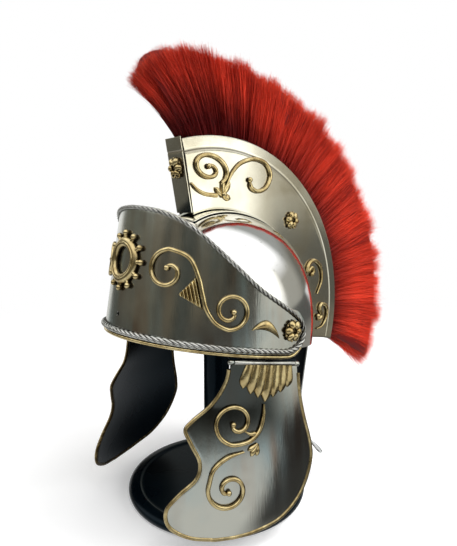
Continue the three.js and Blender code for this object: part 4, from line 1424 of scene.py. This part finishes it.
# %% [markdown]
# Blender can take thousands of points at once as an array, which is much faster than adding hairs
# one by one. A ribbon is a strip of quads, two points to a ring.

# %% Ribbons
def ribbons(name, points):
    """A piece made of open ribbons, from an array of hairs, rings, two edges and three coordinates."""
    count, rings = points.shape[:2]
    first = (np.arange(count) * rings * 2)[:, None, None]
    ring = np.arange(rings - 1)[None, :, None] * 2
    quads = (first + ring + np.array([0, 1, 3, 2])[None, None, :]).reshape(-1, 4)
    mesh = bpy.data.meshes.new(name)
    mesh.vertices.add(count * rings * 2)
    mesh.vertices.foreach_set("co", points.ravel())
    mesh.loops.add(quads.size)
    mesh.loops.foreach_set("vertex_index", quads.ravel())
    mesh.polygons.add(len(quads))
    mesh.polygons.foreach_set("loop_start", np.arange(0, quads.size, 4))
    mesh.polygons.foreach_set("use_smooth", np.ones(len(quads), bool))
    mesh.update(calc_edges=True)
    piece = bpy.data.objects.new(name, mesh)
    bpy.context.scene.collection.objects.link(piece)
    return piece


def moved_by(matrix, points):
    return points @ np.array(matrix.to_3x3()).T + np.array(matrix.translation)


print("the helmet's seat in mm:", [round(v / MM, 1) for v in SEAT.translation])


# %% [markdown]
# A hair runs on a smooth curve from its root, past a knee, to its tip, and is cut off somewhere
# along it. It is drawn as a ribbon that is turned by a chance angle about its own line.

# %% Grow the hairs
HAIRS, SPANS, HAIR_WIDTH, KNEE_AT, MOST_CLING = 24500, 4, 0.42, 0.45, 0.5
print("one layer of hair:", HAIRS, "hairs of", HAIR_WIDTH, "mm")


def grown(name, seed, count, width, spans, shortest):
    random = np.random.default_rng(seed)
    angle = random.uniform(ROOTS["rear"], ROOTS["front"], count)
    angle = np.where(random.random(count) < 0.1, random.uniform(96, ROOTS["front"], count), angle)
    x0 = random.uniform(-1, 1, count)
    angle = rounded_ends(angle, x0)
    away_y = (angle[:, None] - lock_angle) * math.radians(ROOT_RADIUS)
    away_x = (x0[:, None] - lock_x) * ROOTS["half"]
    lock = (away_y ** 2 + away_x ** 2).argmin(axis=1)
    wave = lock_wave[lock]
    cling = random.uniform(0.0, MOST_CLING, count)
    lean = np.radians(hair_lean(angle) + SWAY * sway(angle) + random.normal(0, 3.0, count))
    trimmed = 1.01 - 0.075 * random.random(count) ** 1.6
    length = ROOTS["depth"] + hair_length(angle) * lock_share[lock] * trimmed
    own_y, own_z = tip_of(angle, lean, length)
    tip_y = own_y + cling * (lock_tip_y[lock] - own_y)
    tip_z = own_z + cling * (lock_tip_z[lock] - own_z)
    own_x = x0 * spread_of(angle) + random.normal(0, 1.8, count)
    tip_x = own_x + cling * (lock_tip_x[lock] - own_x)
    root_y, root_z = root_of(angle)
    start = 0.5 * np.radians(angle) + 0.5 * lean
    knee_y, knee_z = tip_of(angle, start, KNEE_AT * length)
    knee_x = x0 * (ROOTS["half"] + 0.3 * SPREAD_AT_TIP)
    curl = lock_curl[lock] + random.normal(0, 2.6, count)
    cut = random.uniform(shortest, 1.0, count)
    facing = random.uniform(0, math.pi, count)
    aside = np.stack([np.cos(facing), -np.sin(facing) * np.sin(lean), np.sin(facing) * np.cos(lean)], axis=1)
    points = np.zeros((count, spans + 1, 2, 3))
    along = np.linspace(0, 1, spans + 1)
    for k, place in enumerate(along):
        q = place * cut
        a, b, c = (1 - q) ** 2, 2 * q * (1 - q), q ** 2
        bend = curl * q ** 3 + 0.7 * np.sin(9 * q + wave) * q
        x = a * x0 * ROOTS["half"] + b * knee_x + c * tip_x + 0.5 * np.cos(8 * q + wave) * q
        y = a * root_y + b * knee_y + c * tip_y - bend * np.sin(lean)
        z = a * root_z + b * knee_z + c * tip_z + bend * np.cos(lean)
        half = width / 2 * (1 - 0.8 * place ** 3)
        middle = np.stack([x, y, z], axis=1)
        points[:, k, 0], points[:, k, 1] = middle - half * aside, middle + half * aside
    piece = ribbons(name, moved_by(SEAT, points * MM))
    # Painted shade: at the front, the hair's dark root tone is carried further up each hair.
    shaded = 1 + 1.5 * steps(angle, 80, 106)
    lit = np.repeat(((along[None, :] * cut[:, None]) ** shaded[:, None]).ravel(), 2)
    tone = np.clip(0.45 + lock_tone_and_light[lock] + random.normal(0, 0.15, count), 0, 1)
    write_values(piece.data, "along", lit)
    write_values(piece.data, "shade", np.repeat(tone, (spans + 1) * 2))
    return piece

# %% [markdown]
# Behind the hairs stands a dark core, a slimmer copy of the plume's outer form, so that no light
# shows through between the roots. Then come five layers of hair, each a piece of its own, some
# of them cut shorter so that tips show all over the sides.

# %% Core and layers of hair
core = copied(nodes["plume"], "plume_core")
core.hide_render = False
edit(outside_out(core), "SELECT")
bpy.ops.transform.shrink_fatten(value=-6.2 * MM)
leave_edit()
carve(core, "SUBSURF", levels=1, render_levels=1)
# The core is painted in the hair's dark root tone: painted shade for the depth of the plume.
DEEP, DARK = 0.1, 0.3
for label, value in (("along", DEEP), ("shade", DARK)):
    write_values(core.data, label, np.full(len(core.data.vertices), value))
done(smooth(core, 60), "red_hair", HELMET)

SHORTEST = (0.94, 0.91, 0.84, 0.68, 0.5)
for number, shortest in enumerate(SHORTEST):
    hair = grown(f"plume_hair_{number + 1}", 20 + number, HAIRS, HAIR_WIDTH, SPANS, shortest)
    done(hair, "red_hair", HELMET, "plume")
print("hairs:", len(SHORTEST) * HAIRS, "triangles:", len(SHORTEST) * HAIRS * SPANS * 2)

# %% [markdown]
# ## The stand
# A turned, gloss black base with a soft edge and a stepped ring, a round post, and a rounded head
# that carries the bowl. The base is spun from its profile like any turned piece.

# %% Stand
FOOT_RADIUS, LEDGE, POST_RADIUS = 90.5, 4.4, 13


def oval_arc(across, up, degrees):
    """Profile points on an oval that touches the foot's radius at the ledge's height."""
    turns = [math.radians(angle) for angle in degrees]
    return [(FOOT_RADIUS - across + across * math.cos(turn), LEDGE + up * math.sin(turn)) for turn in turns]


foot_edge = oval_arc(3.2, 4.4, range(-90, 1, 15)) + oval_arc(5.5, 4.0, range(12, 91, 13))
top_ring = [(FOOT_RADIUS - inward, height) for inward, height in (
    (8.5, 8.9), (10.8, 9.0), (12.0, 8.7), (12.6, 8.0), (13.4, 7.5), (16, 7.4))]
base = spun("stand_foot_skin", [(0, 0)] + foot_edge + top_ring + [(0, 7.4)], 160)
done(smooth(base, 40), "black_lacquer", HELMET, "stand_base")
bpy.ops.mesh.primitive_cylinder_add(vertices=72, radius=POST_RADIUS * MM, depth=244.3 * MM,
                                    location=(0, 0, 129.55 * MM))
post = fix_place(named("stand_post_skin"))
round_edges(post, 0.8, 3, 40)
done(smooth(post, 40), "black_lacquer", HELMET, "stand_post")
painted("stand_head", "black_lacquer")
print("stand: foot", 2 * FOOT_RADIUS, "mm across, post", 2 * POST_RADIUS, "mm across")

# %% [markdown]
# ## Floor and light
# A plain pale floor and a pale surround, as in a product studio. Polished metal shows the room it
# stands in, so what it reflects is set out with care, piece by piece: a white sweep on the left,
# soft light overhead, a pale table top, a white board at the right, and a dim room in front. Only
# reflections see these. To the camera the floor fades to white, and so does the room.

# %% Floor
def both(tree, first, second):
    return maths(tree, "MULTIPLY", first, second)


def axes(tree, where):
    return add(tree, "ShaderNodeSeparateXYZ", {0: where}).outputs


def by_ray(tree, kind, usual, special):
    """One shader for the rays of a kind, such as reflections, and another for all the rest."""
    path = add(tree, "ShaderNodeLightPath")
    return add(tree, "ShaderNodeMixShader", {0: path.outputs[kind], 1: usual, 2: special}).outputs[0]


TABLE, TABLE_DARK, TABLE_BACK = (0.72, 0.73, 0.73), (0.045, 0.045, 0.045), (0.26, 0.25, 0.22)
TABLE_FAR, TABLE_LEFT = (0.10, 0.10, 0.09), (0.85, 0.86, 0.84)
bpy.ops.mesh.primitive_plane_add(size=30, location=(0, 0, -0.0002))
floor = named("floor")
floor_finish, tree, shader, where = new_material("pale_floor", specular=0.0)
from_middle = add(tree, "ShaderNodeVectorMath", {0: where}, operation="LENGTH").outputs["Value"]
glow = spread(tree, from_middle, 0.3, 1.1)
tree.links.new(blend_colour(tree, glow, (0.8, 0.8, 0.8), (0, 0, 0)), shader.inputs["Base Color"])
tree.links.new(blend_colour(tree, glow, (0.30, 0.30, 0.30), (1, 1, 1)), shader.inputs["Emission Color"])
shader.inputs["Emission Strength"].default_value = 1.0
shader.inputs["Roughness"].default_value = 0.9

x, y, _ = axes(tree, where)
past_edge = maths(tree, "MULTIPLY_ADD", x, -0.5, y)
dark_corner = both(tree, spread(tree, x, 0.08, 0.14), spread(tree, past_edge, -0.125, -0.095))
far_left = both(tree, spread(tree, x, -0.2, -0.5), spread(tree, y, -0.35, -0.1))
table = blend_colour(tree, dark_corner, TABLE, TABLE_DARK)
table = blend_colour(tree, spread(tree, y, 0.3, 0.55), table, TABLE_BACK)
table = blend_colour(tree, spread(tree, from_middle, 0.7, 1.1), table, TABLE_FAR)
table = blend_colour(tree, far_left, table, TABLE_LEFT)
mirrored = add(tree, "ShaderNodeEmission", {"Color": table}).outputs[0]
shown = by_ray(tree, "Is Glossy Ray", shader.outputs[0], mirrored)
tree.links.new(shown, tree.nodes["Material Output"].inputs["Surface"])
floor.data.materials.append(floor_finish)
floor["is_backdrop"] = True
print("floor: reflections see a table top of", TABLE)

# %% [markdown]
# A tall white board stands at the right, a little above the table. It puts the bright field on the
# bowl and crest that polished steel needs. Only reflections see it.

# %% White board
BOARD_START, BOARD_END, BOARD_LOW, BOARD_HIGH = Vector((0.40, 0.03)), Vector((0.31, 0.36)), 0.055, 0.42
bpy.ops.mesh.primitive_plane_add(size=1)
board = named("white_board")
for vertex in board.data.vertices:
    at = BOARD_START.lerp(BOARD_END, vertex.co.x + 0.5)
    vertex.co = (at.x, at.y, BOARD_LOW + (BOARD_HIGH - BOARD_LOW) * (vertex.co.y + 0.5))
board_finish, tree, shader, where = new_material("white_board")
_, back, height = axes(tree, where)
upper = blend_colour(tree, spread(tree, back, 0.27, 0.36), (1.9, 1.9, 1.8), (0.72, 0.69, 0.61))
lower = blend_colour(tree, spread(tree, height, BOARD_LOW, 0.2), (0.70, 0.71, 0.68), (0.93, 0.93, 0.89))
white = blend_colour(tree, spread(tree, height, 0.2, 0.28), lower, upper)
lit = add(tree, "ShaderNodeEmission", {"Color": white}).outputs[0]
tree.links.new(lit, tree.nodes["Material Output"].inputs["Surface"])
board.data.materials.append(board_finish)
board.visible_camera = board.visible_diffuse = board.visible_shadow = False
board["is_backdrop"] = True
print("board length in mm:", round(1000 * (BOARD_END - BOARD_START).length))

# %% [markdown]
# The rest of the room is the world's background, painted by direction: a dim room in front, paler
# corners beside it, a white sweep at the left and a ceiling above.

# %% Surround
DIM_COOL, DIM_WARM, DIM_LEFT = (0.045, 0.056, 0.052), (0.17, 0.145, 0.105), (0.26, 0.24, 0.19)
FAR_CORNER, SWEEP_LEFT, SWEEP_BACK = (0.40, 0.39, 0.34), (1.1, 1.1, 1.08), (0.38, 0.41, 0.36)
CEILING, CEILING_BACK, WHITE = (1.45, 1.45, 1.45), (0.38, 0.39, 0.37), (1, 1, 1, 1)
world = bpy.data.worlds.new("studio")
bpy.context.scene.world = world
world.use_nodes = True
tree = world.node_tree
tree.nodes.clear()
where = add(tree, "ShaderNodeTexCoord").outputs["Generated"]
across, back, height = axes(tree, where)
level = add(tree, "ShaderNodeVectorMath", {0: where, 1: (1, 1, 0.05)}, operation="MULTIPLY").outputs[0]
shapes = noise(tree, level, 5.5)
sideways = maths(tree, "MULTIPLY_ADD", height, -0.4, maths(tree, "SUBTRACT", across, back))
room = blend_colour(tree, spread(tree, shapes, 0.42, 0.6), DIM_COOL, DIM_WARM)
room = blend_colour(tree, spread(tree, across, 0.4, -0.3, 0, 0.55), room, DIM_LEFT)
behind_right = both(tree, spread(tree, back, 0.25, 0.55), spread(tree, across, -0.1, 0.2))
room = blend_colour(tree, behind_right, room, FAR_CORNER)
sweep = blend_colour(tree, spread(tree, back, 0.3, 0.6), SWEEP_LEFT, SWEEP_BACK)
at_left = both(tree, spread(tree, across, -0.2, -0.6), spread(tree, back, -0.2, -0.03))
room = blend_colour(tree, at_left, room, sweep)
overhead = blend_colour(tree, spread(tree, sideways, -0.70, -0.94), CEILING, CEILING_BACK)
room = blend_colour(tree, spread(tree, height, 0.28, 0.5), room, overhead)
seen, soft, mirrored = (
    add(tree, "ShaderNodeBackground", {"Color": colour, "Strength": strength}).outputs[0]
    for colour, strength in ((WHITE, 1.0), (WHITE, 0.5), (room, 1.0)))
light = by_ray(tree, "Is Glossy Ray", soft, mirrored)
add(tree, "ShaderNodeOutputWorld", {"Surface": by_ray(tree, "Is Camera Ray", light, seen)})
print("surround: nodes", len(tree.nodes))

# %% [markdown]
# Two soft boxes, one overhead and one behind, add gentle shadows. They are hidden from reflections,
# because a hard bright square in polished steel would spoil the surround.

# %% Lights
def softbox(name, place, target, size, energy):
    bpy.ops.object.light_add(type="AREA", location=place)
    light = bpy.context.object
    light.name = name
    light.rotation_mode = "QUATERNION"
    light.rotation_quaternion = (Vector(target) - Vector(place)).to_track_quat("-Z", "Y")
    light.data.shape = "RECTANGLE"
    light.data.size, light.data.size_y = size
    light.data.energy = energy
    light.visible_glossy = False
    print(name, energy, "W")


softbox("ceiling_light", (0.5, 0.2, 1.5), (0, 0, 0.2), (1.2, 1.0), 24)
softbox("rear_light", (0.85, 0.65, 0.55), (0, 0.2, 0.25), (0.5, 0.6), 9)
bpy.context.scene.view_settings.view_transform = "Standard"

# %% [markdown]
# ## Sizes
# The last thing is to print the CAD box and the finished model's box.

# %% Print the sizes and finish
low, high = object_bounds()
sizes = {"cad": [list(cad_low), list(cad_high)], "visual": [list(low), list(high)]}
print("CAD box in mm:", [round(1000 * v) for v in (*cad_low, *cad_high)])
print("finished box in mm:", [round(1000 * v) for v in (*low, *high)])
